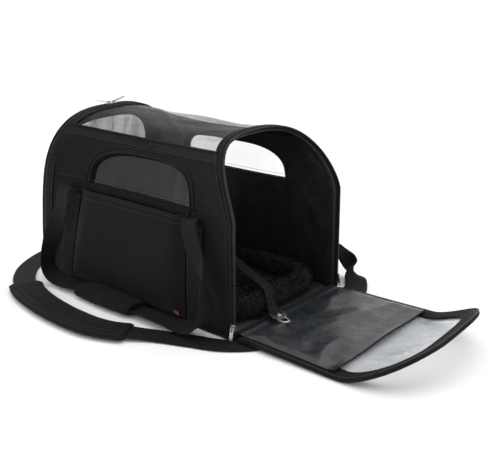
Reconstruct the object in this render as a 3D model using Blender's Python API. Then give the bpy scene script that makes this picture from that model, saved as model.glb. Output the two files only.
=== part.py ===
"""Soft-sided pet carrier bag with a zipped D-shaped door at each end.

+X is the long axis, towards the front door, which lies open on the floor.  -Y is the near side,
+Z is up, and the origin is the middle of the bag's underside.  Metres throughout.
"""
import math

import bmesh
import bpy
import numpy as np
from mathutils import Matrix, Vector

# Driving dimensions of the bag
LENGTH = 0.460
WIDTH = 0.262
HEIGHT = 0.290
GAP = 0.0003
ON_WALL = 0.0009  # gap under what is sewn to the curved walls

# End hoops: straight legs, then a superellipse arch, leaning in towards the middle of the bag
SPRING_LINE = 0.145
HOOP_POWER = 3.0
FRONT_LEAN = 0.066
FRONT_LEAN_START = 0.180
FRONT_LEAN_POWER = 1.4
REAR_LEAN = 0.046
REAR_LEAN_POWER = 1.9

# Soft walls and roof
WALL = 0.006
WALL_INSET = 0.0022
WALL_FOOT = 0.0052
EDGE_HEIGHT = 0.266
SIDE_SAG = 0.022
ROOF_SAG = 0.006
SAG_START = 0.050
FILM = 0.0010
SEAM_HEIGHT = 0.182
WINDOW_LEFT = -0.097
WINDOW_RIGHT = 0.130
WINDOW_TOP = 0.239
WINDOW_POWER = 3.2

# Distances along the bag from a hoop's outer edge to its sleeve and to the soft walls
SLEEVE_RADIUS = 0.0036
SLEEVE_BORE = 0.0019
WIRE_RADIUS = 0.0015
FRONT_SLEEVE_AT = 0.0098
REAR_SLEEVE_AT = 0.0170
SHEET_CLEARANCE = 0.0041

# Base
SKIN = 0.0044
PIPING_RADIUS = 0.0022
CORNER_RADIUS = 0.022
BOARD = 0.0036
BED_BOTTOM = 0.0086
BED_TOP = 0.024
BOLSTER_RADIUS = 0.018

# Doors
DOOR_THICKNESS = 0.0050
DOOR_INSET = 0.0015
DOOR_FRAME = 0.024
DOOR_FOOT = 0.0056
FRONT_PIVOT = (0.2335, 0.0, 0.0096)
FRONT_DOOR_BOTTOM = 0.0034
FLAP_TOP = 0.172
DOOR_CURL = 0.058
REAR_PIVOT = (-0.2303, 0.0, 0.0050)

# Pockets, webbing and handles
POCKET_LEFT = -0.150
POCKET_RIGHT = 0.129
POCKET_TOP = 0.172
POCKET_FOOT = 0.010
POCKET_DEPTH = 0.012
POCKET_SKIN = 0.0022
WEBBING = 0.0018
ANCHOR_WIDTH = 0.032
ANCHOR_LEFT = -0.169
ANCHOR_RIGHT = 0.147
ANCHOR_TOP = 0.1635
REAR_SLANT = 0.038
STRAP_WIDTH = 0.038
LEASH_WIDTH = 0.018
LEASH_PIVOT = (0.1920, -0.0203, 0.0490)
HANDLE_PIVOT_Y = 0.1415
HANDLE_PIVOT_Z = 0.1760
GRIP_Y = 0.159
GRIP_Z = 0.011
GRIP_LENGTH = 0.132
GRIP_WIDTH = 0.045
GRIP_HEIGHT = 0.018
RING_TAB_HEIGHT = 0.120
RING_TAB_WIDTH = 0.012
PAD_WIDTH = 0.054
PAD_HEIGHT = 0.0116

STATIONS = 37
SPAN_STEPS = 11
SIDES = {"near": -1.0, "far": 1.0}


# ---------------------------------------------------------------- general helpers

def material(name, colour, roughness, metallic=0.0, alpha=1.0):
    """Principled material, shared by every piece that names it."""
    made = bpy.data.materials.get(name)
    if made is None:
        made = bpy.data.materials.new(name)
        made.use_nodes = True
        shader = made.node_tree.nodes["Principled BSDF"]
        shader.inputs["Base Color"].default_value = (*colour, 1.0)
        shader.inputs["Roughness"].default_value = roughness
        shader.inputs["Metallic"].default_value = metallic
        shader.inputs["Alpha"].default_value = alpha
    return made


def black_nylon():
    return material("black_nylon", (0.012, 0.012, 0.013), 0.85)


def black_webbing():
    return material("black_webbing", (0.010, 0.010, 0.011), 0.75)


def clear_film():
    return material("clear_film", (0.75, 0.78, 0.80), 0.12, alpha=0.35)


def black_zip():
    return material("black_zip", (0.016, 0.016, 0.017), 0.45)


def nickel():
    return material("nickel", (0.62, 0.61, 0.60), 0.25, metallic=1.0)


def spring_steel():
    return material("spring_steel", (0.30, 0.30, 0.31), 0.35, metallic=1.0)


def black_plush():
    return material("black_plush", (0.008, 0.008, 0.008), 0.95)


def stiff_board():
    return material("stiff_board", (0.05, 0.05, 0.05), 0.6)


def satin_lining():
    return material("satin_lining", (0.10, 0.11, 0.13), 0.35)


def finish_mesh(name, points, faces, paint, smooth_angle=35.0):
    """Turn points and faces into a named object whose faces point outwards."""
    mesh = bpy.data.meshes.new(name)
    mesh.from_pydata([tuple(point) for point in points], [], faces)
    mesh.validate()
    work = bmesh.new()
    work.from_mesh(mesh)
    bmesh.ops.recalc_face_normals(work, faces=work.faces)
    if work.calc_volume(signed=True) < 0.0:
        bmesh.ops.reverse_faces(work, faces=work.faces)
    work.to_mesh(mesh)
    work.free()
    mesh.shade_smooth()
    mesh.set_sharp_from_angle(angle=math.radians(smooth_angle))
    mesh.materials.append(paint)
    made = bpy.data.objects.new(name, mesh)
    bpy.context.scene.collection.objects.link(made)
    return made


def put_origin_at(made, place):
    """Move an object's origin to a joint axis without moving its shape."""
    shift = Vector(place)
    made.data.transform(Matrix.Translation(-shift))
    made.location = shift


def swept(name, rings, paint, closed=False):
    """Solid through a row of rings with the same number of points in each."""
    count = len(rings[0])
    points = [point for ring in rings for point in ring]
    faces = []
    last = len(rings) if closed else len(rings) - 1
    for row in range(last):
        here = row * count
        there = ((row + 1) % len(rings)) * count
        for k in range(count):
            nxt = (k + 1) % count
            faces.append((here + k, here + nxt, there + nxt, there + k))
    if not closed:
        faces.append(tuple(range(count)))
        faces.append(tuple(range(len(points) - 1, len(points) - 1 - count, -1)))
    return finish_mesh(name, points, faces, paint)


def two_skins(name, outer, inner, paint):
    """Closed sheet between an outer and an inner grid of points."""
    rows = len(outer)
    columns = len(outer[0])
    points = [point for row in outer for point in row]
    points += [point for row in inner for point in row]
    offset = rows * columns

    def at(i, j):
        return i * columns + j

    faces = []
    for i in range(rows - 1):
        for j in range(columns - 1):
            quad = (at(i, j), at(i + 1, j), at(i + 1, j + 1), at(i, j + 1))
            faces.append(quad)
            faces.append(tuple(offset + k for k in reversed(quad)))
    rim = [at(i, 0) for i in range(rows)]
    rim += [at(rows - 1, j) for j in range(1, columns)]
    rim += [at(i, columns - 1) for i in range(rows - 2, -1, -1)]
    rim += [at(0, j) for j in range(columns - 2, 0, -1)]
    for k, here in enumerate(rim):
        nxt = rim[(k + 1) % len(rim)]
        faces.append((nxt, here, here + offset, nxt + offset))
    return finish_mesh(name, points, faces, paint)


def smooth_route(route, spacing, closed=False):
    """Points at an even spacing on a Catmull-Rom curve through the route."""
    knots = [Vector(point) for point in route]
    total = len(knots)
    dense = []
    spans = total if closed else total - 1
    for k in range(spans):
        if closed:
            four = [knots[(k + step) % total] for step in (-1, 0, 1, 2)]
        else:
            four = [knots[min(max(k + step, 0), total - 1)] for step in (-1, 0, 1, 2)]
        for step in range(24):
            t = step / 24
            dense.append(0.5 * (2 * four[1] + (four[2] - four[0]) * t
                                + (2 * four[0] - 5 * four[1] + 4 * four[2] - four[3]) * t * t
                                + (3 * four[1] - four[0] - 3 * four[2] + four[3]) * t ** 3))
    dense.append(dense[0] if closed else knots[-1])
    grid = np.array([tuple(point) for point in dense])
    run = np.concatenate([[0.0], np.cumsum(np.linalg.norm(np.diff(grid, axis=0), axis=1))])
    pieces = max(2, round(run[-1] / spacing))
    marks = np.linspace(0.0, run[-1], pieces + 1)
    if closed:
        marks = marks[:-1]
    return [Vector([np.interp(mark, run, grid[:, axis]) for axis in range(3)]) for mark in marks]


def directions(points, closed=False):
    """Unit direction of travel at each point."""
    total = len(points)
    result = []
    for k in range(total):
        before = points[(k - 1) % total] if closed or k > 0 else points[k]
        after = points[(k + 1) % total] if closed or k < total - 1 else points[k]
        result.append((after - before).normalized())
    return result


def tube(name, points, radius, paint, closed=False, sides=8):
    """Round bar along points, with frames carried forward so that it never twists."""
    travel = directions(points, closed)
    start = Vector((0, 0, 1)) if abs(travel[0].z) < 0.9 else Vector((1, 0, 0))
    side = travel[0].cross(start).normalized()
    rings = []
    for point, along in zip(points, travel):
        side = (side - along * side.dot(along)).normalized()
        other = along.cross(side)
        rings.append([point + radius * (math.cos(turn) * side + math.sin(turn) * other)
                      for turn in [2 * math.pi * k / sides for k in range(sides)]])
    return swept(name, rings, paint, closed)


def ribbon(name, points, faces_to, width, thickness, paint):
    """Flat webbing along points; faces_to gives the direction its flat side looks in."""
    travel = directions(points)
    rings = []
    for point, along, look in zip(points, travel, faces_to):
        across = along.cross(look).normalized()
        normal = across.cross(along).normalized()
        rings.append([point + across * a * width / 2 + normal * n * thickness / 2
                      for a, n in ((-1, -1), (1, -1), (1, 1), (-1, 1))])
    return swept(name, rings, paint)


def sleeve(name, outer, inner, paint):
    """Hollow solid, open at both ends, between an outer and an inner row of rings."""
    count = len(outer[0])
    points = [point for ring in outer for point in ring]
    points += [point for ring in inner for point in ring]
    offset = len(outer) * count
    faces = []
    for row in range(len(outer) - 1):
        for k in range(count):
            nxt = (k + 1) % count
            quad = (row * count + k, row * count + nxt, (row + 1) * count + nxt, (row + 1) * count + k)
            faces.append(quad)
            faces.append(tuple(offset + index for index in reversed(quad)))
    for row in (0, len(outer) - 1):
        for k in range(count):
            nxt = (k + 1) % count
            faces.append((row * count + nxt, row * count + k, offset + row * count + k,
                          offset + row * count + nxt))
    return finish_mesh(name, points, faces, paint)


def block(name, low, high, paint):
    """Square-edged block between two corners."""
    corners = [(x, y, z) for z in (low[2], high[2]) for y in (low[1], high[1]) for x in (low[0], high[0])]
    faces = [(0, 2, 3, 1), (4, 5, 7, 6), (0, 1, 5, 4), (2, 6, 7, 3), (0, 4, 6, 2), (1, 3, 7, 5)]
    return finish_mesh(name, corners, faces, paint)


def cut(target, tool, operation="DIFFERENCE"):
    """Boolean modifier whose tool stays out of the model."""
    tool.hide_render = True
    tool.display_type = "WIRE"
    change = target.modifiers.new(operation.lower(), "BOOLEAN")
    change.object = tool
    change.operation = operation
    change.solver = "EXACT"
    return target


def rounded_rectangle(half_x, half_y, radius, per_corner=5):
    """Corner arcs of a rounded rectangle, anticlockwise from above."""
    outline = []
    for quarter, (sx, sy) in enumerate(((1, 1), (-1, 1), (-1, -1), (1, -1))):
        for k in range(per_corner):
            turn = math.pi / 2 * (quarter + k / (per_corner - 1))
            outline.append((sx * (half_x - radius) + radius * math.cos(turn),
                            sy * (half_y - radius) + radius * math.sin(turn)))
    return outline


# ---------------------------------------------------------------- the bag's surface

def half_width(z):
    """Half the bag's width at height z, at a hoop."""
    rise = min(max((z - SPRING_LINE) / (HEIGHT - SPRING_LINE), 0.0), 1.0)
    return WIDTH / 2 * (1 - rise ** HOOP_POWER) ** (1 / HOOP_POWER)


def front_x(z):
    rise = max(0.0, z - FRONT_LEAN_START) / (HEIGHT - FRONT_LEAN_START)
    return LENGTH / 2 - FRONT_LEAN * rise ** FRONT_LEAN_POWER


def rear_x(z):
    return -LENGTH / 2 + REAR_LEAN * (max(z, 0.0) / HEIGHT) ** REAR_LEAN_POWER


def outline_stations(count, foot):
    """Even steps round the hoop from the near foot to the far foot: y, z and inward normal."""
    arch = np.linspace(0.0, math.pi, 1201)
    power = 2 / HOOP_POWER
    ys = -np.sign(np.cos(arch)) * np.abs(np.cos(arch)) ** power * WIDTH / 2
    zs = SPRING_LINE + np.sin(arch) ** power * (HEIGHT - SPRING_LINE)
    ys = np.concatenate([[-WIDTH / 2], ys, [WIDTH / 2]])
    zs = np.concatenate([[foot], zs, [foot]])
    run = np.concatenate([[0.0], np.cumsum(np.hypot(np.diff(ys), np.diff(zs)))])
    marks = np.linspace(0.0, run[-1], count)
    y = np.interp(marks, run, ys)
    z = np.interp(marks, run, zs)
    ty = np.gradient(y)
    tz = np.gradient(z)
    size = np.hypot(ty, tz)
    return list(zip(y, z, tz / size, -ty / size))


def sagged(u, y, z):
    """Move a point of the soft shell in and down; u runs from 0 at the rear hoop to 1 at the front."""
    span = 4 * min(max(u, 0.0), 1.0) * (1 - min(max(u, 0.0), 1.0))
    rise = min(max((z - SAG_START) / (EDGE_HEIGHT - SAG_START), 0.0), 1.0)
    share = rise * rise * (3 - 2 * rise) * span
    return y * (1 - SIDE_SAG * share / (WIDTH / 2)), z - ROOF_SAG * share


def shell_point(u, station, inset):
    """Point of the soft shell between the two hoops, at a depth below the hoops' outline."""
    y, z, ny, nz = station
    start = rear_x(z) + REAR_SLEEVE_AT + SHEET_CLEARANCE
    end = front_x(z) - FRONT_SLEEVE_AT - SHEET_CLEARANCE
    y_here, z_here = sagged(u, y + inset * ny, z + inset * nz)
    return Vector((start + (end - start) * u, y_here, z_here))


def side_station(height):
    """Station on the near leg of the outline, at a height."""
    step = 1e-4
    slope = (half_width(height + step) - half_width(height - step)) / (2 * step)
    size = math.hypot(1.0, slope)
    return (-half_width(height), height, 1.0 / size, slope / size)


def wall_point(side, x, z, inset):
    """Point of a side wall with a given x and z, at a depth below the hoops' outline."""
    height = z
    u = 0.5
    for _ in range(8):
        station = side_station(height)
        low = shell_point(0.0, station, inset)
        high = shell_point(1.0, station, inset)
        u = (x - low.x) / (high.x - low.x)
        height += z - shell_point(u, station, inset).z
    found = shell_point(u, side_station(height), inset)
    return Vector((found.x, found.y * -side, found.z))


def wall_patch(name, side, xs, zs, outer, inner, paint, slant=None):
    """Closed sheet on a side wall over x and z; outer and inner give the depth at x, z."""
    skins = []
    for depth in (outer, inner):
        skin = []
        for x in xs:
            shifts = [slant(x, z) if slant else 0.0 for z in zs]
            skin.append([wall_point(side, x + shift, z, depth(x, z)) for shift, z in zip(shifts, zs)])
        skins.append(skin)
    return two_skins(name, skins[0], skins[1], paint)


def rear_slant(x, z):
    """Forward shift of the pocket and its rear webbing, which lean forwards as they rise."""
    share = min((POCKET_RIGHT - x) / (POCKET_RIGHT - POCKET_LEFT), 1.0)
    return REAR_SLANT * share * z / POCKET_TOP if x < POCKET_RIGHT else 0.0


def evenly(low, high, count):
    return [low + (high - low) * k / (count - 1) for k in range(count)]


def constant(value):
    return lambda x, z: value


# ---------------------------------------------------------------- base

def slab(name, half_x, half_y, radius, low, high, paint):
    """Flat panel with rounded corners."""
    outline = rounded_rectangle(half_x, half_y, radius)
    rings = [[Vector((x, y, z)) for x, y in outline] for z in (low, high)]
    return swept(name, rings, paint)


def make_base():
    """Bottom fabric with its edge piping, the stiff board and the plush bed with its rolled rim."""
    edge = 2 * PIPING_RADIUS + GAP
    slab("base_skin", LENGTH / 2 - edge, WIDTH / 2 - edge, CORNER_RADIUS - edge, 0.0, SKIN, black_nylon())
    line = rounded_rectangle(LENGTH / 2 - PIPING_RADIUS, WIDTH / 2 - PIPING_RADIUS,
                             CORNER_RADIUS - PIPING_RADIUS)
    points = [Vector((x, y, PIPING_RADIUS + GAP)) for x, y in line]
    tube("base_piping", points, PIPING_RADIUS, black_nylon(), closed=True, sides=6)
    inside = WIDTH / 2 - WALL_INSET - WALL - 0.001
    slab("base_board", LENGTH / 2 - 0.020, inside, 0.015, SKIN + GAP, SKIN + GAP + BOARD, stiff_board())
    slab("bed_cushion", 0.177, 0.078, 0.034, BED_BOTTOM, BED_TOP, black_plush())
    rim = rounded_rectangle(0.198, 0.099, 0.045)
    roll = [Vector((x, y, BED_BOTTOM + BOLSTER_RADIUS)) for x, y in rim]
    tube("bed_bolster", roll, BOLSTER_RADIUS, black_plush(), closed=True)


# ---------------------------------------------------------------- walls, windows and roof

def arch_prism(name, side, grow):
    """Prism through a side wall with the outline of its window, for cutting."""
    half = (WINDOW_RIGHT - WINDOW_LEFT) / 2 + grow
    middle = (WINDOW_RIGHT + WINDOW_LEFT) / 2
    sill = SEAM_HEIGHT - grow
    tall = WINDOW_TOP + grow - sill
    outline = []
    for k in range(19):
        turn = math.pi * k / 18
        reach = abs(math.cos(turn)) ** (2 / WINDOW_POWER) * math.copysign(1.0, math.cos(turn))
        outline.append((middle + half * reach, sill + tall * max(math.sin(turn), 0.0) ** (2 / WINDOW_POWER)))
    rings = [[Vector((x, side * y, z)) for x, z in outline] for y in (0.04, 0.20)]
    return swept(name, rings, black_nylon())


def wall_stations(side):
    """Outline stations of one side wall, foot to top edge."""
    heights = evenly(WALL_FOOT, SPRING_LINE, 5) + evenly(SPRING_LINE, EDGE_HEIGHT, 9)[1:]
    return [side_station(height) for height in heights]


def mirrored(point, side):
    return Vector((point.x, -side * point.y, point.z))


def make_side(label, side):
    """Padded wall, its window, the window's piping and the binding of the top edge."""
    stations = wall_stations(side)
    us = evenly(0.0, 1.0, SPAN_STEPS)
    skins = [[[mirrored(shell_point(u, station, depth), side) for station in stations] for u in us]
             for depth in (WALL_INSET, WALL_INSET + WALL)]
    wall = two_skins("side_wall_" + label, skins[0], skins[1], black_nylon())
    cut(wall, arch_prism("cutter_window_" + label, side, 0.0))
    margin = 0.004
    window = wall_patch("side_window_" + label, side, evenly(WINDOW_LEFT - margin, WINDOW_RIGHT + margin, 9),
                        evenly(SEAM_HEIGHT - margin, WINDOW_TOP + margin, 7),
                        constant(WALL_INSET + 0.0020), constant(WALL_INSET + 0.0020 + FILM), clear_film())
    cut(window, arch_prism("cutter_film_" + label, side, -GAP), "INTERSECT")
    bead = 0.0016
    half = (WINDOW_RIGHT - WINDOW_LEFT) / 2 + 0.003
    middle = (WINDOW_RIGHT + WINDOW_LEFT) / 2
    tall = WINDOW_TOP - SEAM_HEIGHT + 0.003
    arc = []
    for k in range(21):
        turn = math.pi * k / 20
        reach = abs(math.cos(turn)) ** (2 / WINDOW_POWER) * math.copysign(1.0, math.cos(turn))
        rise = max(math.sin(turn), 0.0) ** (2 / WINDOW_POWER)
        arc.append(wall_point(side, middle + half * reach, SEAM_HEIGHT + 0.004 + (tall - 0.004) * rise,
                              WALL_INSET - bead - ON_WALL))
    tube("window_piping_" + label, smooth_route(arc, 0.014), bead, black_nylon(), sides=6)
    edge = [side_station(EDGE_HEIGHT - 0.0065), side_station(EDGE_HEIGHT), side_station(EDGE_HEIGHT + 0.0045)]
    binding = [[[mirrored(shell_point(u, station, depth), side) for station in edge]
                for u in evenly(0.0, 1.0, SPAN_STEPS)] for depth in (WALL_INSET - 0.0020, WALL_INSET - ON_WALL)]
    two_skins("top_binding_" + label, binding[0], binding[1], black_nylon())


def make_roof():
    """Clear film roof between the two top edges, thin enough to sag."""
    edge = side_station(EDGE_HEIGHT + 0.0006)
    stations = [station for station in outline_stations(120, WALL_FOOT) if station[1] > edge[1]]
    chosen = stations[::4] if len(stations) % 4 == 1 else stations[::4] + [stations[-1]]
    us = evenly(0.0, 1.0, SPAN_STEPS)
    skins = [[[shell_point(u, station, depth) for station in chosen] for u in us]
             for depth in (WALL_INSET, WALL_INSET + FILM)]
    two_skins("roof_window", skins[0], skins[1], clear_film())


# ---------------------------------------------------------------- hoops and zips

def hoop_point(end, station, back, inset):
    """Point at a hoop, a distance back along the bag from its outer edge."""
    y, z, ny, nz = station
    x = front_x(z) - back if end == "front" else rear_x(z) + back
    return Vector((x, y + inset * ny, z + inset * nz))


def hoop_sweep(name, end, section, foot, paint):
    """Solid that follows a hoop, from a section of (back, inset) points."""
    stations = outline_stations(STATIONS, foot)
    rings = [[hoop_point(end, station, back, inset) for back, inset in section] for station in stations]
    return swept(name, rings, paint)


def circle_section(back, inset, radius, sides=8):
    turns = [2 * math.pi * (k + 0.5) / sides for k in range(sides)]
    return [(back + radius * math.cos(turn), inset + radius * math.sin(turn)) for turn in turns]


def hoop_pipe(name, end, back, inset, foot, paint):
    """Hollow sleeve that follows a hoop, open at both feet."""
    stations = outline_stations(STATIONS, foot)
    skins = []
    for radius in (SLEEVE_RADIUS, SLEEVE_BORE):
        section = circle_section(back, inset, radius)
        skins.append([[hoop_point(end, station, b, i) for b, i in section] for station in stations])
    return sleeve(name, skins[0], skins[1], paint)


def zip_section(tape_edge, teeth_edge, tape_inset=0.0010):
    """Thin tape with the thicker bead of zip teeth along one edge."""
    toward = 1.0 if teeth_edge > tape_edge else -1.0
    bead = teeth_edge - toward * 0.0022
    return [(tape_edge, tape_inset), (tape_edge, tape_inset + 0.0010), (bead, tape_inset + 0.0010),
            (bead, tape_inset + 0.0016), (teeth_edge, tape_inset + 0.0016), (teeth_edge, tape_inset - 0.0006),
            (bead, tape_inset - 0.0006), (bead, tape_inset)]


def make_hoop(end, sleeve_at, tape_edge, teeth_edge):
    """Sleeve with its spring wire, and the half of the zip that is sewn to the hoop."""
    hoop_pipe(end + "_hoop_sleeve", end, sleeve_at, SLEEVE_RADIUS, WALL_FOOT, black_nylon())
    wire = circle_section(sleeve_at, SLEEVE_RADIUS, WIRE_RADIUS, sides=6)
    hoop_sweep(end + "_hoop_wire", end, wire, WALL_FOOT + 0.001, spring_steel())
    hoop_sweep(end + "_zip_fixed", end, zip_section(tape_edge, teeth_edge), 0.012, black_zip())


# ---------------------------------------------------------------- doors

def door_rows(inset, foot):
    """Rows (half width, height) of a door's outline from its foot to its top."""
    stations = [station for station in outline_stations(65, foot) if station[0] <= 1e-6]
    rows = []
    for y, z, ny, nz in stations:
        rows.append((-(y + inset * ny), z + inset * nz))
    return rows[:-1]


def curl(length):
    """Rise of the open front door, a distance from its hinge."""
    start = FRONT_LEAN_START
    rise = max(0.0, length - start) / (HEIGHT - start)
    return DOOR_CURL * rise ** FRONT_LEAN_POWER


def rear_door_place(y, z, depth):
    return Vector((rear_x(z) + depth, y, z))


def front_door_place(y, z, depth):
    """The front door, drawn closed as y and z, laid open on the floor."""
    length = z - DOOR_FOOT + 0.0015
    return Vector((FRONT_PIVOT[0] + length, y, FRONT_DOOR_BOTTOM + curl(length) + DOOR_THICKNESS - depth))


def door_sheet(name, place, inset, foot, depths, paint, top=HEIGHT):
    """Closed D-shaped sheet of a door between two depths."""
    rows = [row for row in door_rows(inset, foot) if row[1] <= top]
    across = evenly(-1.0, 1.0, 5)
    skins = [[[place(half * a, z, depth) for a in across] for half, z in rows] for depth in depths]
    return two_skins(name, skins[0], skins[1], paint)


def make_door(end, place, axis_place, depths, zip_depths):
    """Padded D-shaped frame, its film window and the half of the zip round its edge."""
    panel = door_sheet(end + "_door_panel", place, DOOR_INSET, DOOR_FOOT, depths, black_nylon())
    hole = door_sheet("cutter_hole_" + end, place, DOOR_FRAME, DOOR_FOOT + DOOR_FRAME,
                      (depths[0] - 0.02, depths[1] + 0.02), black_nylon())
    cut(panel, hole)
    put_origin_at(panel, axis_place)
    middle = (depths[0] + depths[1]) / 2
    film = door_sheet(end + "_door_window", place, DOOR_FRAME + GAP, DOOR_FOOT + DOOR_FRAME + GAP,
                      (middle - FILM / 2, middle + FILM / 2), clear_film())
    put_origin_at(film, axis_place)
    rings = []
    for y, z, ny, nz in outline_stations(STATIONS, DOOR_FOOT + 0.006):
        rings.append([place(y + i * ny, z + i * nz, d)
                      for d, i in ((zip_depths[0], 0.0015), (zip_depths[1], 0.0015),
                                   (zip_depths[1], 0.0055), (zip_depths[0], 0.0055))])
    teeth = swept(end + "_door_zip", rings, black_zip())
    put_origin_at(teeth, axis_place)


def make_doors():
    """Rear door zipped shut; front door open with its loose lining flap over half the window."""
    make_door("rear", rear_door_place, REAR_PIVOT, (0.0, DOOR_THICKNESS),
              (DOOR_THICKNESS + GAP, DOOR_THICKNESS + GAP + 0.0022))
    make_door("front", front_door_place, FRONT_PIVOT, (DOOR_THICKNESS, 0.0), (-2 * GAP, -2 * GAP - 0.0016))
    flap = door_sheet("front_door_flap", front_door_place, 0.010, DOOR_FOOT + 0.028,
                      (-2 * GAP, -2 * GAP - 0.0012), satin_lining(), top=FLAP_TOP)
    put_origin_at(flap, FRONT_PIVOT)


# ---------------------------------------------------------------- pockets and webbing

def pocket_offset(x, z):
    """How far a pocket stands off the wall: full in the middle, none at its sewn edges."""
    from_side = min(x - POCKET_LEFT, POCKET_RIGHT - x) / 0.035
    from_foot = (z - POCKET_FOOT) / 0.045
    share = min(max(min(from_side, 1.0), 0.0), max(min(from_foot, 1.0), 0.0))
    return POCKET_DEPTH * math.sin(share * math.pi / 2)


def make_pocket(label, side):
    """Open-topped outside pocket, sewn to the wall along its foot and sides."""
    def inner(x, z):
        return WALL_INSET - ON_WALL - pocket_offset(x, z)

    def outer(x, z):
        return inner(x, z) - POCKET_SKIN

    wall_patch("pocket_" + label, side, evenly(POCKET_LEFT, POCKET_RIGHT, 13),
               evenly(POCKET_FOOT, POCKET_TOP, 9), outer, inner, black_nylon(), rear_slant)


def make_anchors(label, side):
    """Two upright webbings sewn to the wall, each the foot of one end of the carry handle."""
    for where, middle in (("rear", ANCHOR_LEFT), ("front", ANCHOR_RIGHT)):
        wall_patch("anchor_webbing_" + label + "_" + where, side,
                   [middle - ANCHOR_WIDTH / 2, middle, middle + ANCHOR_WIDTH / 2],
                   evenly(0.007, ANCHOR_TOP, 10), constant(WALL_INSET - ON_WALL - WEBBING),
                   constant(WALL_INSET - ON_WALL), black_webbing(), rear_slant)


def handle_route(side):
    """Middle line of a hanging carry handle, from one upright webbing to the other.

    The near handle flops outwards and forwards beyond its uprights; the far one hangs straighter.
    """
    rear_at = ANCHOR_LEFT + rear_slant(ANCHOR_LEFT, ANCHOR_TOP)
    rear_wall = wall_point(side, rear_at, 0.171, 0.0).y * side
    front_wall = wall_point(side, ANCHOR_RIGHT, 0.171, 0.0).y * side
    route = [(rear_at, rear_wall + 0.0045, 0.1670), (rear_at - 0.002, rear_wall + 0.011, 0.1755),
             (rear_at - 0.005, rear_wall + 0.021, 0.1695), (-0.142, 0.148, 0.142), (-0.154, 0.152, 0.110),
             (-0.166, 0.157, 0.076), (-0.176, 0.160, 0.046), (-0.174, 0.161, 0.026), (-0.157, 0.161, 0.0150),
             (-0.125, 0.160, 0.0115), (-0.0900, GRIP_Y, GRIP_Z), (-0.0200, GRIP_Y, GRIP_Z),
             (0.0500, GRIP_Y, GRIP_Z), (0.085, 0.160, 0.0115), (0.125, 0.161, 0.0115),
             (0.164, 0.161, 0.0150), (0.190, 0.160, 0.028), (0.196, 0.157, 0.052), (0.188, 0.153, 0.086),
             (0.175, 0.149, 0.120), (0.161, 0.147, 0.146), (0.153, front_wall + 0.021, 0.1695),
             (0.149, front_wall + 0.011, 0.1755), (0.147, front_wall + 0.0045, 0.1670)]
    if side > 0:
        low = [(-0.150, 0.152, 0.110), (-0.152, 0.156, 0.076), (-0.149, 0.160, 0.048), (-0.138, 0.161, 0.028),
               (-0.120, 0.161, 0.0165), (-0.104, 0.160, 0.0120), (-0.0900, GRIP_Y, GRIP_Z), (-0.0200, GRIP_Y, GRIP_Z),
               (0.0500, GRIP_Y, GRIP_Z), (0.064, 0.160, 0.0120), (0.082, 0.161, 0.0165), (0.100, 0.161, 0.028),
               (0.113, 0.160, 0.048), (0.122, 0.155, 0.076), (0.128, 0.150, 0.110), (0.135, 0.148, 0.142)]
        fold = [(x - draw, y, z) for draw, (x, y, z) in zip((0.010, 0.003, 0.0), route[-3:])]
        route = route[:4] + low + fold
    return [Vector((x, y * side, z)) for x, y, z in route]


def rounded_section(centre, across, up, half_width, half_height, power, count=14):
    """Ring of a rounded bar: a superellipse across and up from its centre."""
    ring = []
    for n in range(count):
        turn = 2 * math.pi * (n + 0.5) / count
        a = math.copysign(abs(math.cos(turn)) ** power, math.cos(turn)) * half_width
        b = math.copysign(abs(math.sin(turn)) ** power, math.sin(turn)) * half_height
        ring.append(centre + across * a + up * b)
    return ring


def make_handle(label, side):
    """Carry handle hanging down the side: webbing through a padded grip."""
    pivot = (0.0, side * HANDLE_PIVOT_Y, HANDLE_PIVOT_Z)
    points = smooth_route(handle_route(side), 0.005)
    looks = []
    for k, point in enumerate(points):
        along = k / (len(points) - 1)
        from_end = min(along, 1 - along)
        flat = min(max((from_end - 0.24) / 0.10, 0.0), 1.0)
        over = math.radians(90) * max(0.0, (0.0325 - from_end) / 0.022)
        turn = min(max((from_end - 0.08) / 0.13, 0.0), 1.0) * (1 - flat) if side < 0 else 0.0
        outwards = side * (1 - flat) * (1 - turn) * math.cos(over)
        looks.append(Vector((math.copysign(turn, 0.5 - along), outwards, 0.15 * (1 - flat) + flat + math.sin(over))))
    strap = ribbon("handle_webbing_" + label, points, looks, ANCHOR_WIDTH - 0.002, WEBBING,
                   black_webbing())
    put_origin_at(strap, pivot)
    outer = []
    inner = []
    for a in evenly(-1.0, 1.0, 9):
        centre = Vector((-0.020 + GRIP_LENGTH / 2 * a, side * GRIP_Y, GRIP_Z))
        bulge = 1 - 0.10 * a * a
        outer.append(rounded_section(centre, Vector((0, 1, 0)), Vector((0, 0, 1)), GRIP_WIDTH / 2 * bulge,
                                     GRIP_HEIGHT / 2 * bulge, 0.65))
        inner.append(rounded_section(centre, Vector((0, 1, 0)), Vector((0, 0, 1)), ANCHOR_WIDTH / 2 + 0.0012,
                                     WEBBING / 2 + 0.0014, 0.35))
    grip = sleeve("handle_grip_" + label, outer, inner, black_nylon())
    put_origin_at(grip, pivot)


# ---------------------------------------------------------------- zip sliders

def make_slider(name, place, out, slide):
    """Slider plate with its raised bail, and a pull tab that hangs from the bail.

    out is the direction away from the zip, slide the direction of travel.
    """
    side = slide.cross(out)
    frame = Matrix((side, slide, out)).transposed().to_4x4()
    frame.translation = Vector(place)
    plate = block(name, (-0.0040, -0.0050, 0.0), (0.0040, 0.0050, 0.0017), nickel())
    bail = block("tool_bail_" + name, (-0.0011, -0.0036, 0.0010), (0.0011, 0.0036, 0.0056), nickel())
    hole = block("tool_hole_" + name, (-0.0100, -0.0022, 0.0021), (0.0100, 0.0022, 0.0042), nickel())
    for piece in (plate, bail, hole):
        piece.data.transform(frame)
    cut(plate, bail, "UNION")
    cut(plate, hole)
    put_origin_at(plate, place)
    return frame


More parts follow.
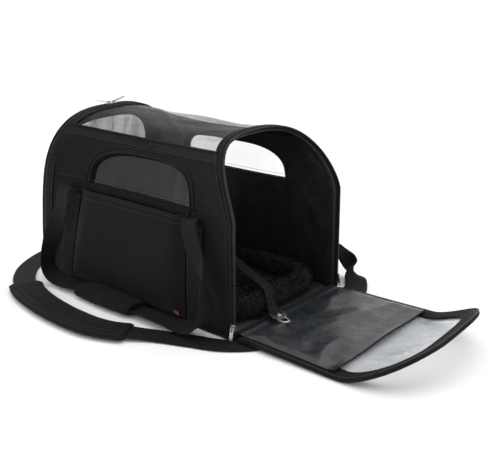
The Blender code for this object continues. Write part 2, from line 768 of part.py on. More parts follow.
def make_pull(name, frame, tilt, length):
    """Pull tab whose top bar lies in the slider's bail; tilt is measured from the slide direction."""
    body = block(name, (-0.0032, -length, -0.0006), (0.0032, 0.0007, 0.0006), nickel())
    slot = block("tool_slot_" + name, (-0.0017, -0.0062, -0.0050), (0.0017, -0.0007, 0.0050), nickel())
    turn = Matrix.Rotation(tilt, 4, "X")
    lift = Matrix.Translation((0.0, 0.0, 0.00315))
    for piece in (body, slot):
        piece.data.transform(frame @ lift @ turn)
    cut(body, slot)
    pivot = (frame @ lift).translation
    put_origin_at(body, pivot)
    return pivot


def make_sliders():
    """Two sliders at the foot of the open front zip, two at the top of the closed rear zip."""
    zip_middle = 0.0026
    for label, side in SIDES.items():
        place = (LENGTH / 2 - zip_middle, side * (WIDTH / 2 + GAP), 0.024)
        frame = make_slider("front_slider_" + label, place, Vector((0, side, 0)), Vector((0, 0, 1)))
        make_pull("front_pull_" + label, frame, math.radians(-12), 0.019)
    middle = rear_x(HEIGHT) + 0.0076
    for label, side in SIDES.items():
        place = (middle, side * 0.0056, HEIGHT + GAP)
        frame = make_slider("rear_slider_" + label, place, Vector((0, 0, 1)), Vector((0, -side, 0)))
        make_pull("rear_pull_" + label, frame, math.radians(-14), 0.026)


# ---------------------------------------------------------------- shoulder strap

def make_ring_tab(name, middle_x, height):
    """Folded webbing tab on the far wall, and the D ring whose straight bar lies in its fold."""
    side = 1.0
    here = wall_point(side, middle_x, height, WALL_INSET)
    above = wall_point(side, middle_x, height + 0.01, WALL_INSET)
    up = Vector((0.0, above.y - here.y, above.z - here.z)).normalized()
    out = Vector((0.0, up.z, -up.y))
    inner = 0.0021
    outer = inner + 0.0016
    centre_out = outer + 0.0022
    section = []
    steps = 11
    first = math.radians(200)
    last = math.radians(-80)
    for k in range(steps):
        turn = first + (last - first) * k / (steps - 1)
        section.append((centre_out + outer * math.cos(turn), outer * math.sin(turn)))
    for k in range(steps):
        turn = last + (first - last) * k / (steps - 1)
        section.append((centre_out + inner * math.cos(turn), inner * math.sin(turn)))
    tail = [(centre_out + 0.0005, 0.0030), (0.0020, 0.0180), (0.0006, 0.0180), (0.0006, 0.0030)]

    def across_tab(outline):
        return [[here + Vector((x, 0, 0)) + out * a + up * b for a, b in outline]
                for x in (-RING_TAB_WIDTH / 2, RING_TAB_WIDTH / 2)]

    tab = swept(name, across_tab(section), black_webbing())
    tool = swept("tool_tail_" + name, across_tab(tail), black_webbing())
    cut(tab, tool, "UNION")
    return here + out * centre_out


def make_d_ring(name, bar, droop):
    """D ring: straight bar along X and a bow that hangs below it."""
    half = 0.0105
    points = [bar + Vector((x, 0, 0)) for x in evenly(-half, half, 4)]
    for k in range(1, 10):
        turn = math.pi * k / 10
        points.append(bar + Vector((half * math.cos(turn), 0, 0)) + droop * 0.018 * math.sin(turn) ** 0.8)
    return tube(name, points, 0.0016, nickel(), closed=True)


def place_matrix(origin, along, look):
    """Frame with local X along, local Z close to look."""
    x = Vector(along).normalized()
    y = Vector(look).cross(x).normalized()
    z = x.cross(y)
    frame = Matrix((x, y, z)).transposed().to_4x4()
    frame.translation = Vector(origin)
    return frame


def make_snap_hook(name, frame, scale, eye_width, fixed_eye):
    """Snap hook along local X: stem block, hook wire round to a gap, and an eye for webbing."""
    paint = nickel()
    body = block(name, (0.0, -0.0100 * scale, -0.0026 * scale),
                 (0.0070 * scale, 0.0100 * scale, 0.0026 * scale), paint)
    wire = [(0.0040, 0.0080, 0.0), (0.0120, 0.0084, 0.0), (0.0190, 0.0084, 0.0)]
    for k in range(1, 8):
        turn = math.pi * k / 8
        wire.append((0.0190 + 0.0084 * math.sin(turn), 0.0084 * math.cos(turn), 0.0))
    wire += [(0.0190, -0.0084, 0.0), (0.0150, -0.0084, 0.0)]
    points = [Vector(point) * scale for point in wire]
    arc = tube("tool_wire_" + name, points, 0.0018 * scale, paint)
    pieces = [arc]
    if fixed_eye:
        eye = eye_loop("tool_eye_" + name, eye_width, paint, -0.0115, -0.0005)
        eye.data.transform(Matrix.Rotation(math.pi / 2, 4, "X"))
        pieces.append(eye)
    else:
        post = tube("tool_post_" + name, [Vector((x, 0, 0)) for x in (-0.0052, 0.0020)], 0.0016, paint)
        head = tube("tool_head_" + name, [Vector((x, 0, 0)) for x in (-0.0066, -0.0050)], 0.0028, paint)
        pieces += [post, head]
    for piece in [body] + pieces:
        piece.data.transform(frame)
    for piece in pieces:
        cut(body, piece, "UNION")
    gate = block(name.replace("hook", "trigger"), (0.0055 * scale, -0.0126 * scale, -0.0014 * scale),
                 (0.0165 * scale, -0.0105 * scale, 0.0014 * scale), paint)
    gate.data.transform(frame)
    put_origin_at(gate, frame @ Vector((0.0055 * scale, -0.0115 * scale, 0.0)))
    return body


def eye_loop(name, width, paint, low, high):
    """Flat rectangular loop for webbing, between two stations along local X."""
    frame = block(name, (low, -width / 2 - 0.003, -0.0013),
                  (high + 0.0010, width / 2 + 0.003, 0.0013), paint)
    tool = block("tool_window_" + name, (low + 0.0025, -width / 2, -0.01),
                 (high - 0.0025, width / 2, 0.01), paint)
    cut(frame, tool)
    return frame


def strap_route():
    """Middle line of the shoulder strap, from the rear snap hook to the front one."""
    return [(-0.212, 0.163, 0.066), (-0.232, 0.172, 0.033), (-0.256, 0.166, 0.0130), (-0.278, 0.142, 0.0040),
            (-0.293, 0.105, 0.0016), (-0.303, 0.050, 0.0014), (-0.302, -0.020, 0.0014),
            (-0.290, -0.085, 0.0014), (-0.262, -0.140, 0.0014), (-0.225, -0.178, 0.0024)] + pad_route() + [
            (0.130, -0.1920, 0.0024), (0.175, -0.172, 0.0014), (0.225, -0.150, 0.0014),
            (0.262, -0.110, 0.0014), (0.277, -0.050, 0.0014), (0.279, 0.010, 0.0014), (0.277, 0.055, 0.0014),
            (0.271, 0.096, 0.0014), (0.262, 0.132, 0.0014), (0.248, 0.160, 0.0028), (0.232, 0.180, 0.0105),
            (0.217, 0.190, 0.0240), (0.205, 0.186, 0.0430), (0.195, 0.1635, 0.066)]


def pad_route():
    """The stretch of the strap that runs inside its pad."""
    z = PAD_HEIGHT / 2 + 0.0006
    return [(-0.1842, -0.2034, z), (-0.140, -0.2230, z), (-0.070, -0.2370, z),
            (0.000, -0.2410, z), (0.050, -0.2350, z), (0.0935, -0.2160, z)]


def strap_looks(points):
    """Webbing lies flat on the floor and turns its flat side outwards where it hangs."""
    looks = []
    for along in directions(points):
        steep = min(max((abs(along.z) - 0.30) / 0.60, 0.0), 1.0)
        looks.append(Vector((0.0, steep, 1 - steep)))
    return looks


def make_strap():
    """Shoulder strap: webbing, pad, D rings and snap hooks."""
    route = strap_route()
    points = smooth_route(route, 0.010)
    ribbon("strap_webbing", points, strap_looks(points), STRAP_WIDTH, WEBBING, black_webbing())
    points = smooth_route(route, 0.006)
    ends = [Vector(pad_route()[0]), Vector(pad_route()[-1])]
    first, last = [min(range(len(points)), key=lambda k: (points[k] - end).length) for end in ends]
    points = points[first:last + 1:3]
    outer = []
    inner = []
    for point, along in zip(points, directions(points)):
        across = along.cross(Vector((0, 0, 1))).normalized()
        up = Vector((0, 0, 1))
        level = Vector((point.x, point.y, ends[0].z))
        outer.append(rounded_section(level, across, up, PAD_WIDTH / 2, PAD_HEIGHT / 2, 0.6))
        inner.append(rounded_section(level, across, up, STRAP_WIDTH / 2 + 0.0012, WEBBING / 2 + 0.0016, 0.35))
    sleeve("shoulder_pad", outer, inner, black_nylon())
    rear_bar = make_ring_tab("ring_tab_rear", -0.1915, RING_TAB_HEIGHT)
    front_bar = make_ring_tab("ring_tab_front", 0.1800, RING_TAB_HEIGHT)
    for label, bar, end in (("rear", rear_bar, Vector(route[0])), ("front", front_bar, Vector(route[-1]))):
        droop = Vector((0.0, 0.50, -0.866))
        make_d_ring("d_ring_" + label, bar, droop)
        bottom = bar + droop * 0.018
        reach = (bottom - end).normalized()
        start = bottom - reach * 0.0220
        frame = place_matrix(start, reach, (1, 0, 0))
        make_snap_hook("strap_hook_" + label, frame, 1.0, STRAP_WIDTH, True)


def leash_looks(points):
    """The leash lies flat on the bed and faces forwards where it drops over the sill."""
    return [Vector((abs(along.z), 0, 1 - abs(along.z))) for along in directions(points)]


def make_leash():
    """Short leash over the bed, its free end over the sill, and a swivel snap hook."""
    fixed = [(-0.090, 0.112, 0.052), (-0.050, 0.098, 0.0500), (0.010, 0.070, 0.0480), (0.070, 0.040, 0.0480),
             (0.125, 0.012, 0.0480), (0.165, -0.0072, 0.0485), (0.1905, -0.0195, 0.0490)]
    free = [(0.1935, -0.0210, 0.0490), (0.207, -0.0285, 0.0450), (0.2165, -0.0345, 0.0350),
            (0.2245, -0.0395, 0.0260), (0.2330, -0.0446, 0.0215)]
    points = smooth_route(fixed, 0.012)
    ribbon("leash_webbing", points, leash_looks(points), LEASH_WIDTH, WEBBING, black_webbing())
    points = smooth_route(free, 0.006)
    drop = ribbon("leash_drop", points, leash_looks(points), LEASH_WIDTH, WEBBING, black_webbing())
    put_origin_at(drop, LEASH_PIVOT)
    along = Vector((0.92, -0.39, 0.0)).normalized()
    frame = place_matrix(Vector((0.2505, -0.0520, 0.0208)), along, (0, 0, 1))
    eye = block("leash_eye", (-0.0160, -LEASH_WIDTH / 2 - 0.0028, -0.0014),
                (-0.0003, LEASH_WIDTH / 2 + 0.0028, 0.0014), nickel())
    window = block("tool_window_leash_eye", (-0.0135, -LEASH_WIDTH / 2, -0.01),
                   (-0.0072, LEASH_WIDTH / 2, 0.01), nickel())
    boss = tube("tool_boss_leash_eye", [Vector((x, 0, 0)) for x in (-0.0048, -0.0003)], 0.0040, nickel(),
              sides=12)
    bore = tube("tool_bore_leash_eye", [Vector((x, 0, 0)) for x in (-0.0049, 0.01)], 0.0019, nickel(),
              sides=12)
    cup = tube("tool_cup_leash_eye", [Vector((x, 0, 0)) for x in (-0.0073, -0.0047)], 0.0034, nickel(),
              sides=12)
    for piece in (eye, window, boss, bore, cup):
        piece.data.transform(frame)
    cut(eye, boss, "UNION")
    cut(eye, window)
    cut(eye, bore)
    cut(eye, cup)
    make_snap_hook("leash_hook", frame, 0.80, LEASH_WIDTH, False)


def clear_scene():
    for old in list(bpy.data.objects):
        bpy.data.objects.remove(old, do_unlink=True)


def main():
    clear_scene()
    make_base()
    for label, side in SIDES.items():
        make_side(label, side)
        make_pocket(label, side)
        make_anchors(label, side)
        make_handle(label, side)
    make_roof()
    make_hoop("front", FRONT_SLEEVE_AT, 0.0056, 0.0)
    make_hoop("rear", REAR_SLEEVE_AT, 0.0126, 0.0079)
    make_doors()
    make_sliders()
    make_strap()
    make_leash()


main()
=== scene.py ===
"""Soft pet carrier bag: fabric, film, webbing, zips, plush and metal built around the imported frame."""

import math
import random

import bmesh
import bpy
import numpy as np
from mathutils import Matrix, Vector, noise


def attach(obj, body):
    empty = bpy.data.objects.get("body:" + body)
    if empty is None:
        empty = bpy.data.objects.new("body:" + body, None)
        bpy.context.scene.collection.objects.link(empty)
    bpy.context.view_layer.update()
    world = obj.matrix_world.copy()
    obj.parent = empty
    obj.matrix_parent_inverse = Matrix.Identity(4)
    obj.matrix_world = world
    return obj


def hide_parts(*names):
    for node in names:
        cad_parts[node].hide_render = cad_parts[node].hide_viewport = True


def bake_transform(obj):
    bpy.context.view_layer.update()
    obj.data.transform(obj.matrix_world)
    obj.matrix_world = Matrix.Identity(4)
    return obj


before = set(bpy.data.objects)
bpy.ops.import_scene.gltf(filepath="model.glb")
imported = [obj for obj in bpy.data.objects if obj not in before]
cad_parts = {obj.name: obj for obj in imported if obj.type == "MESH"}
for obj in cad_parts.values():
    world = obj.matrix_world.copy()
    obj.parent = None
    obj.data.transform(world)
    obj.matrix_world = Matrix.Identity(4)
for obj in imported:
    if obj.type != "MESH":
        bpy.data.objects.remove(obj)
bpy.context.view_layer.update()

# ---------------------------------------------------------------- sizes shared with the CAD part

LENGTH = 0.460
WIDTH = 0.262
HEIGHT = 0.290
SPRING_LINE = 0.145
HOOP_POWER = 3.0
FRONT_LEAN = 0.066
FRONT_LEAN_START = 0.180
FRONT_LEAN_POWER = 1.4
REAR_LEAN = 0.046
REAR_LEAN_POWER = 1.9
SIDE_SAG = 0.022
ROOF_SAG = 0.006
SAG_START = 0.050
EDGE_HEIGHT = 0.266
SHEET_ENDS = (0.0211, 0.0139)
WALL_INSET = 0.0022
WALL = 0.006
WALL_FOOT = 0.0052
SEAM_HEIGHT = 0.182
WINDOW_LEFT = -0.097
WINDOW_RIGHT = 0.130
WINDOW_TOP = 0.239
WINDOW_POWER = 3.2
POCKET_LEFT = -0.150
POCKET_RIGHT = 0.129
POCKET_TOP = 0.172
POCKET_FOOT = 0.010
POCKET_DEPTH = 0.012
ANCHOR_AT = {"rear": -0.169, "front": 0.147}
ANCHOR_WIDTH = 0.032
ANCHOR_TOP = 0.1635
REAR_SLANT = 0.038
FOLD_HEIGHT = 0.1670
WEBBING = 0.0018
DOOR_INSET = 0.0015
DOOR_FRAME = 0.024
DOOR_FOOT = 0.0056
DOOR_THICKNESS = 0.005
DOOR_CURL = 0.058
FLAP_TOP = 0.172
FRONT_HINGE_X = 0.2335
FRONT_DOOR_BOTTOM = 0.0034
GRIP_CENTRE = (-0.020, 0.159, 0.011)
GRIP_LENGTH = 0.132
GRIP_WIDTH = 0.045
GRIP_HEIGHT = 0.018
STRAP_WIDTH = 0.038
PAD_WIDTH = 0.054
PAD_HEIGHT = 0.0116
LEASH_WIDTH = 0.018
SIDES = {"near": -1.0, "far": 1.0}
DOOR_DROP = 0.0015
DOOR_REACH = 0.284
FAR_CORNER_LIFT = 0.009
NEAR_CORNER_DROP = 0.003

# ---------------------------------------------------------------- sizes of the looks

UP = Vector((0, 0, 1))
FORWARDS = Vector((1, 0, 0))
ROUTE_STEP = 0.004
PIPING_STEP = 0.0035
SEWN_ON = WALL_INSET - 0.0009
LINED = WALL_INSET + WALL
ARCH_STEPS = 48
PIPING_INSIDE_WINDOW = 0.0028
PIPING_OUTSIDE_WINDOW = 0.0098
STITCHES_ROUND_WINDOW = 0.0062
STITCH_PITCH = 0.0034
HEAVY_STITCH_PITCH = 0.0032
THREAD_LENGTH = 0.0024
THREAD_WIDE, THREAD_HIGH = 0.0006, 0.0005
WELT = 0.0012
HOOP_FOOT = 0.0062
HOOP_RADIUS = 0.0037
HOOP_INSET = 0.0034
HOOPS = {"front": {"sleeve_at": 0.0098, "tape_edge": 0.0056, "teeth_edge": 0.0, "inner_end": 0.0175},
         "rear": {"sleeve_at": 0.0170, "tape_edge": 0.0126, "teeth_edge": 0.0079, "inner_end": 0.0250}}
TOOTH_PITCH = 0.0022
TOOTH_WIDE, TOOTH_LONG, TOOTH_HIGH = 0.0012, 0.0028, 0.0020
DOOR_TOOTH_LONG = 0.0024
BOLSTER_HEIGHT = 0.0266
BOLSTER_RADIUS = 0.0165
BOLSTER_SIDES = 28
MAT_HALF = (0.180, 0.081)
MAT_FOOT = 0.0092
PILE_TUFTS = 15000
LEASH_END = (0.2330, -0.0446, 0.0215)
RING_TAB_AT = {"rear": -0.1915, "front": 0.1800}
TAG_AT = (0.1140, 0.0170)
TAG_HALF = (0.0075, 0.0055)
METAL = ("d_ring", "strap_hook", "strap_trigger", "leash_eye", "leash_hook", "leash_trigger",
         "front_slider", "rear_slider", "front_pull", "rear_pull")
FRONT_STRIP = (0.2215, 0.2440)
FRONT_STRIP_HEIGHT = 0.0104
REAR_STRIP_FOOT = (-0.2235, 0.0055)
REAR_STRIP_RISE = (-0.0062, 0.0060)
STRIP_THICK = 0.0010
SILL = (0.2240, 0.0108)
FLOOR_HALF = 30.0
FLOOR_BELOW = 0.0006
FLOOR_SHADE = (0.97, 0.97, 0.97)
SKY_STRENGTH = 0.88
SUN_STRENGTH = 0.75
SUN_ANGLE = math.radians(60)
LAMP_POWER = 5.0
LAMPS = {"key": ((-0.6, -1.6, 1.3), (0.0, 0.0, 0.1), 0.9), "side": ((1.8, 0.6, 0.9), (0.2, 0.0, 0.1), 0.8)}
CAMERA_AT = (0.96208, -0.95363, 0.54408)
CAMERA_HEADING = 2.27804
CAMERA_DIP = 0.31752
CAMERA_ROLL = math.radians(-0.15)
CAMERA_LENS = 59.65

rng = random.Random(7)


# ---------------------------------------------------------------- general helpers

def clamp(value, low=0.0, high=1.0):
    return min(max(value, low), high)


def smooth_step(low, high, value):
    t = clamp((value - low) / (high - low))
    return t * t * (3 - 2 * t)


def cloudy(x, y, z, octaves=3):
    """Smooth fractal noise between about -1 and 1."""
    total = 0.0
    size = 1.0
    for step in range(octaves):
        total += size * noise.noise(Vector((x, y, z)) * 2 ** step)
        size *= 0.5
    return total


def creased(x, y, seed, turn=0.0, stretch=4.0):
    """Long soft creases lying along one direction."""
    c, s = math.cos(turn), math.sin(turn)
    a = (x * c + y * s) / stretch
    b = -x * s + y * c
    bend = noise.noise(Vector((a * 0.6, b * 0.6, seed)))
    value = noise.noise(Vector((a, b + 0.8 * bend, seed + 3.1)))
    return 1.0 - 2.2 * abs(value)


def evenly(low, high, count):
    """Values from low to high at even steps, both ends among them."""
    return [low + (high - low) * k / (count - 1) for k in range(count)]


def layers(rows, columns, spot, depths):
    """One grid of points for each depth; spot gives the place for a row, a column and a depth."""
    return [[[spot(row, column, depth) for column in columns] for row in rows] for depth in depths]


def smooth_route(route, spacing, closed=False):
    """Points at an even spacing on a Catmull-Rom curve through the route."""
    knots = [Vector(point) for point in route]
    total = len(knots)
    dense = []
    for k in range(total if closed else total - 1):
        if closed:
            four = [knots[(k + step) % total] for step in (-1, 0, 1, 2)]
        else:
            four = [knots[min(max(k + step, 0), total - 1)] for step in (-1, 0, 1, 2)]
        for step in range(24):
            t = step / 24
            dense.append(0.5 * (2 * four[1] + (four[2] - four[0]) * t
                                + (2 * four[0] - 5 * four[1] + 4 * four[2] - four[3]) * t * t
                                + (3 * four[1] - four[0] - 3 * four[2] + four[3]) * t ** 3))
    dense.append(dense[0] if closed else knots[-1])
    grid = np.array([tuple(point) for point in dense])
    run = np.concatenate([[0.0], np.cumsum(np.linalg.norm(np.diff(grid, axis=0), axis=1))])
    pieces = max(2, round(run[-1] / spacing))
    marks = np.linspace(0.0, run[-1], pieces + 1)
    if closed:
        marks = marks[:-1]
    return [Vector([np.interp(mark, run, grid[:, axis]) for axis in range(3)]) for mark in marks]


def directions(points, closed=False):
    total = len(points)
    result = []
    for k in range(total):
        before = points[(k - 1) % total] if closed or k > 0 else points[k]
        after = points[(k + 1) % total] if closed or k < total - 1 else points[k]
        result.append((after - before).normalized())
    return result


def runs(points):
    """Distance run along a row of points."""
    total = [0.0]
    for k in range(1, len(points)):
        total.append(total[-1] + (points[k] - points[k - 1]).length)
    return total


# ---------------------------------------------------------------- the bag's surface, as in the CAD part

def half_width(z):
    rise = clamp((z - SPRING_LINE) / (HEIGHT - SPRING_LINE))
    return WIDTH / 2 * (1 - rise ** HOOP_POWER) ** (1 / HOOP_POWER)


def front_x(z):
    rise = max(0.0, z - FRONT_LEAN_START) / (HEIGHT - FRONT_LEAN_START)
    return LENGTH / 2 - FRONT_LEAN * rise ** FRONT_LEAN_POWER


def rear_x(z):
    return -LENGTH / 2 + REAR_LEAN * (max(z, 0.0) / HEIGHT) ** REAR_LEAN_POWER


def outline_stations(count, foot):
    """Even steps round the hoop from the near foot to the far foot: y, z and inward normal."""
    arch = np.linspace(0.0, math.pi, 1601)
    power = 2 / HOOP_POWER
    ys = -np.sign(np.cos(arch)) * np.abs(np.cos(arch)) ** power * WIDTH / 2
    zs = SPRING_LINE + np.sin(arch) ** power * (HEIGHT - SPRING_LINE)
    ys = np.concatenate([[-WIDTH / 2], ys, [WIDTH / 2]])
    zs = np.concatenate([[foot], zs, [foot]])
    run = np.concatenate([[0.0], np.cumsum(np.hypot(np.diff(ys), np.diff(zs)))])
    marks = np.linspace(0.0, run[-1], count)
    y = np.interp(marks, run, ys)
    z = np.interp(marks, run, zs)
    ty = np.gradient(y)
    tz = np.gradient(z)
    size = np.hypot(ty, tz)
    return list(zip(y, z, tz / size, -ty / size))


def sagged(u, y, z):
    """The walls draw in and the roof dips between the hoops."""
    share = smooth_step(SAG_START, EDGE_HEIGHT, z) * (4 * clamp(u) * (1 - clamp(u)))
    return y * (1 - SIDE_SAG * share / (WIDTH / 2)), z - ROOF_SAG * share


def shell_point(u, station, inset):
    y, z, ny, nz = station
    start = rear_x(z) + SHEET_ENDS[0]
    end = front_x(z) - SHEET_ENDS[1]
    y_here, z_here = sagged(u, y + inset * ny, z + inset * nz)
    return Vector((start + (end - start) * u, y_here, z_here))


def side_point(side, u, station, inset):
    """Point of a side wall at a share u of its length."""
    point = shell_point(u, station, inset)
    return Vector((point.x, -side * point.y, point.z))


def side_station(height):
    step = 1e-4
    slope = (half_width(height + step) - half_width(height - step)) / (2 * step)
    size = math.hypot(1.0, slope)
    return (-half_width(height), height, 1.0 / size, slope / size)


def wall_point(side, x, z, inset):
    """Point of a side wall with a given x and z, at a depth below the hoops' outline."""
    height = z
    u = 0.5
    for _ in range(6):
        station = side_station(height)
        low = shell_point(0.0, station, inset)
        high = shell_point(1.0, station, inset)
        u = (x - low.x) / (high.x - low.x)
        height += z - shell_point(u, station, inset).z
    return side_point(side, u, side_station(height), inset)


def slanted(side, x, z, inset):
    """Wall point of the pocket and its rear webbing, which lean forwards as they rise."""
    share = clamp((POCKET_RIGHT - x) / (POCKET_RIGHT - POCKET_LEFT))
    return wall_point(side, x + REAR_SLANT * share * z / POCKET_TOP, z, inset)


def hoop_point(end, station, back, inset):
    y, z, ny, nz = station
    x = front_x(z) - back if end == "front" else rear_x(z) + back
    return Vector((x, y + inset * ny, z + inset * nz))


def curl(length):
    rise = max(0.0, length - FRONT_LEAN_START) / (HEIGHT - FRONT_LEAN_START)
    return DOOR_CURL * rise ** FRONT_LEAN_POWER


def rear_door_place(y, z, depth):
    return Vector((rear_x(z) + depth, y, z))


def front_door_place(y, z, depth):
    """The front door, drawn closed as y and z, laid open; its far corner stands a little higher."""
    length = z - DOOR_FOOT + DOOR_DROP
    lift = FAR_CORNER_LIFT * (y / (WIDTH / 2)) * clamp(length / DOOR_REACH) ** 2
    height = FRONT_DOOR_BOTTOM + curl(length) + DOOR_THICKNESS - depth + max(lift, -NEAR_CORNER_DROP)
    return Vector((FRONT_HINGE_X + length, y, height))


# ---------------------------------------------------------------- meshes

def mesh_object(name, points, faces, paints, slots=None, uvs=None, sharp=50.0):
    """Object from points and faces; slots gives each face's material, uvs each face's corner places."""
    mesh = bpy.data.meshes.new(name)
    mesh.from_pydata([tuple(point) for point in points], [], faces)
    for paint in paints:
        mesh.materials.append(paint)
    if slots is not None:
        mesh.polygons.foreach_set("material_index", slots)
    if uvs is not None:
        layer = mesh.uv_layers.new(name="UVMap")
        layer.data.foreach_set("uv", [value for corners in uvs for corner in corners for value in corner])
    made = bpy.data.objects.new(name, mesh)
    bpy.context.scene.collection.objects.link(made)
    turn_outwards(mesh)
    mesh.shade_smooth()
    mesh.set_sharp_from_angle(angle=math.radians(sharp))
    return made


def turn_outwards(mesh):
    """Make every face of a closed mesh look outwards."""
    work = bmesh.new()
    work.from_mesh(mesh)
    bmesh.ops.recalc_face_normals(work, faces=work.faces)
    if work.calc_volume(signed=True) < 0.0:
        bmesh.ops.reverse_faces(work, faces=work.faces)
    work.to_mesh(mesh)
    work.free()


def two_skins(name, outer, inner, front, back=None):
    """Closed sheet between an outer and an inner grid; UVs are metres along the cloth."""
    rows, columns = len(outer), len(outer[0])
    along = runs([row[columns // 2] for row in outer])
    across = runs(outer[rows // 2])
    points = [point for grid in (outer, inner) for row in grid for point in row]
    offset = rows * columns
    faces, slots, uvs = [], [], []

    def spots(cells):
        return [(along[i], across[j]) for i, j in cells]

    for i in range(rows - 1):
        for j in range(columns - 1):
            cells = ((i, j), (i + 1, j), (i + 1, j + 1), (i, j + 1))
            quad = [a * columns + b for a, b in cells]
            faces += [tuple(quad), tuple(offset + k for k in reversed(quad))]
            slots += [0, 1 if back is not None else 0]
            uvs += [spots(cells), spots(cells[::-1])]
    rim = [(i, 0) for i in range(rows)]
    rim += [(rows - 1, j) for j in range(1, columns)]
    rim += [(i, columns - 1) for i in range(rows - 2, -1, -1)]
    rim += [(0, j) for j in range(columns - 2, 0, -1)]
    for here, nxt in zip(rim, rim[1:] + rim[:1]):
        a, b = here[0] * columns + here[1], nxt[0] * columns + nxt[1]
        faces.append((b, a, a + offset, b + offset))
        slots.append(0)
        uvs.append(spots((nxt, here, here, nxt)))
    return mesh_object(name, points, faces, [front] + ([back] if back is not None else []), slots, uvs)


def lofted(name, rings, paint, closed=False, sharp=50.0):
    """Skin through a row of rings, capped unless it is closed; UVs are metres along and round."""
    count = len(rings[0])
    total = len(rings)
    along = runs([ring[0] for ring in rings])
    around = runs(rings[total // 2] + [rings[total // 2][0]])
    if closed:
        along.append(along[-1] + (rings[0][0] - rings[-1][0]).length)
    points = [point for ring in rings for point in ring]
    faces, uvs = [], []
    for row in range(total if closed else total - 1):
        here, there = row * count, ((row + 1) % total) * count
        for k in range(count):
            nxt = (k + 1) % count
            faces.append((here + k, here + nxt, there + nxt, there + k))
            uvs.append([(along[row], around[k]), (along[row], around[k + 1]),
                        (along[row + 1], around[k + 1]), (along[row + 1], around[k])])
    if not closed:
        faces.append(tuple(range(count)))
        uvs.append([(along[0], around[k]) for k in range(count)])
        faces.append(tuple(range(len(points) - 1, len(points) - 1 - count, -1)))
        uvs.append([(along[-1], around[k]) for k in range(count)])
    return mesh_object(name, points, faces, [paint], None, uvs, sharp)


def tube(name, points, radius, paint, closed=False, sides=10, wobble=0.0):
    """Round cord along points; wobble puckers its radius as sewn piping does."""
    travel = directions(points, closed)
    start = Vector((0, 0, 1)) if abs(travel[0].z) < 0.9 else Vector((1, 0, 0))
    side = travel[0].cross(start).normalized()
    rings = []
    for point, along in zip(points, travel):
        side = (side - along * side.dot(along)).normalized()
        other = along.cross(side)
        size = radius * (1 + wobble * cloudy(*(point * 160.0), octaves=2))
        rings.append([point + size * (math.cos(turn) * side + math.sin(turn) * other)
                      for turn in [2 * math.pi * k / sides for k in range(sides)]])
    return lofted(name, rings, paint, closed)


def ribbon(name, points, looks, width, thickness, paint, cup=0.0, pucker=0.0):
    """Webbing with rolled selvedges along points; looks gives the way its flat side faces."""
    half = [(-1.0, 0.0), (-0.985, -0.42), (-0.94, -0.5), (-0.5, -0.44),
            (0.0, -0.42), (0.5, -0.44), (0.94, -0.5), (0.985, -0.42)]
    section = half + [(-a, -n) for a, n in half]
    rings = []
    for point, along, look in zip(points, directions(points), looks):
        across = along.cross(look).normalized()
        normal = across.cross(along).normalized()
        ring = []
        for a, n in section:
            bow = cup * (a * a - 0.4) + pucker * cloudy(point.x * 60, point.y * 60 + a * 2, point.z * 60, 2)
            ring.append(point + across * a * width / 2 + normal * (n * thickness + bow))
        rings.append(ring)
    return lofted(name, rings, paint, sharp=70.0)


def rounded(turn, power, high_power=None):
    """Place on a rounded square at an angle, between -1 and 1 each way."""
    c, s = math.cos(turn), math.sin(turn)
    return (math.copysign(abs(c) ** power, c), math.copysign(abs(s) ** (high_power or power), s))


def turns(count):
    """Angles of an even division of a full turn."""
    return [2 * math.pi * k / count for k in range(count)]


def settle(piece, body, slot, *nodes):
    """Put a piece on its body and hide the CAD nodes it stands for; slot is not used."""
    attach(piece, body)
    if nodes:
        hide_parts(*nodes)
    return piece


def bead(name, route, radius, body="shell", nodes=(), spacing=ROUTE_STEP, closed=False, sides=8, wobble=0.12):
    """Sewn piping along a route; a spacing of None keeps the route's own points."""
    points = smooth_route(route, spacing, closed) if spacing else route
    settle(tube(name, points, radius, NYLON_PIPING, closed, sides, wobble), body, "nylon", *nodes)


# ---------------------------------------------------------------- stitches and teeth

class Heap:
    """Many small shapes gathered into one mesh."""

    def __init__(self):
        self.points = []
        self.faces = []

    def bar(self, start, end, look, wide, high, taper=0.55):
        """Short rounded bar from start to end."""
        along = (end - start).normalized()
        across = along.cross(look)
        if across.length < 1e-6:
            across = along.orthogonal()
        across.normalize()
        up = across.cross(along)
        base = len(self.points)
        length = (end - start).length
        for share, size in ((0.0, taper), (0.25, 1.0), (0.75, 1.0), (1.0, taper)):
            middle = start + along * length * share
            for a, b in ((-1, -1), (1, -1), (1, 1), (-1, 1)):
                self.points.append(middle + across * (a * wide / 2 * size) + up * (b * high / 2 * size))
        for row in range(base, base + 12, 4):
            for k in range(4):
                nxt = (k + 1) % 4
                self.faces.append((row + k, row + nxt, row + 4 + nxt, row + 4 + k))
        self.faces.append((base + 3, base + 2, base + 1, base))
        self.faces.append((base + 12, base + 13, base + 14, base + 15))

    def made(self, name, paint):
        return mesh_object(name, self.points, self.faces, [paint])


class Run:
    """A row of points that can be asked for the place at a distance along it."""

    def __init__(self, points):
        self.marks = runs(points)
        self.grid = np.array([tuple(point) for point in points])

    def at(self, mark):
        return Vector([np.interp(mark, self.marks, self.grid[:, axis]) for axis in range(3)])


stitches = {}


def sew(body, row, look, pitch=STITCH_PITCH, lift=0.0002):
    """Sewing thread lying on a body's cloth along a row; look is the way the cloth faces, or gives it."""
    heap = stitches.setdefault(body, Heap())
    run = Run(row)
    for k in range(int(run.marks[-1] / pitch)):
        start, end = run.at(k * pitch), run.at(k * pitch + THREAD_LENGTH)
        facing = look(start) if callable(look) else look
        heap.bar(start + facing * lift, end + facing * lift, facing, THREAD_WIDE, THREAD_HIGH)


def finish_sewing():
    for body, heap in stitches.items():
        settle(heap.made("stitching_" + body, THREAD), body, "nylon")


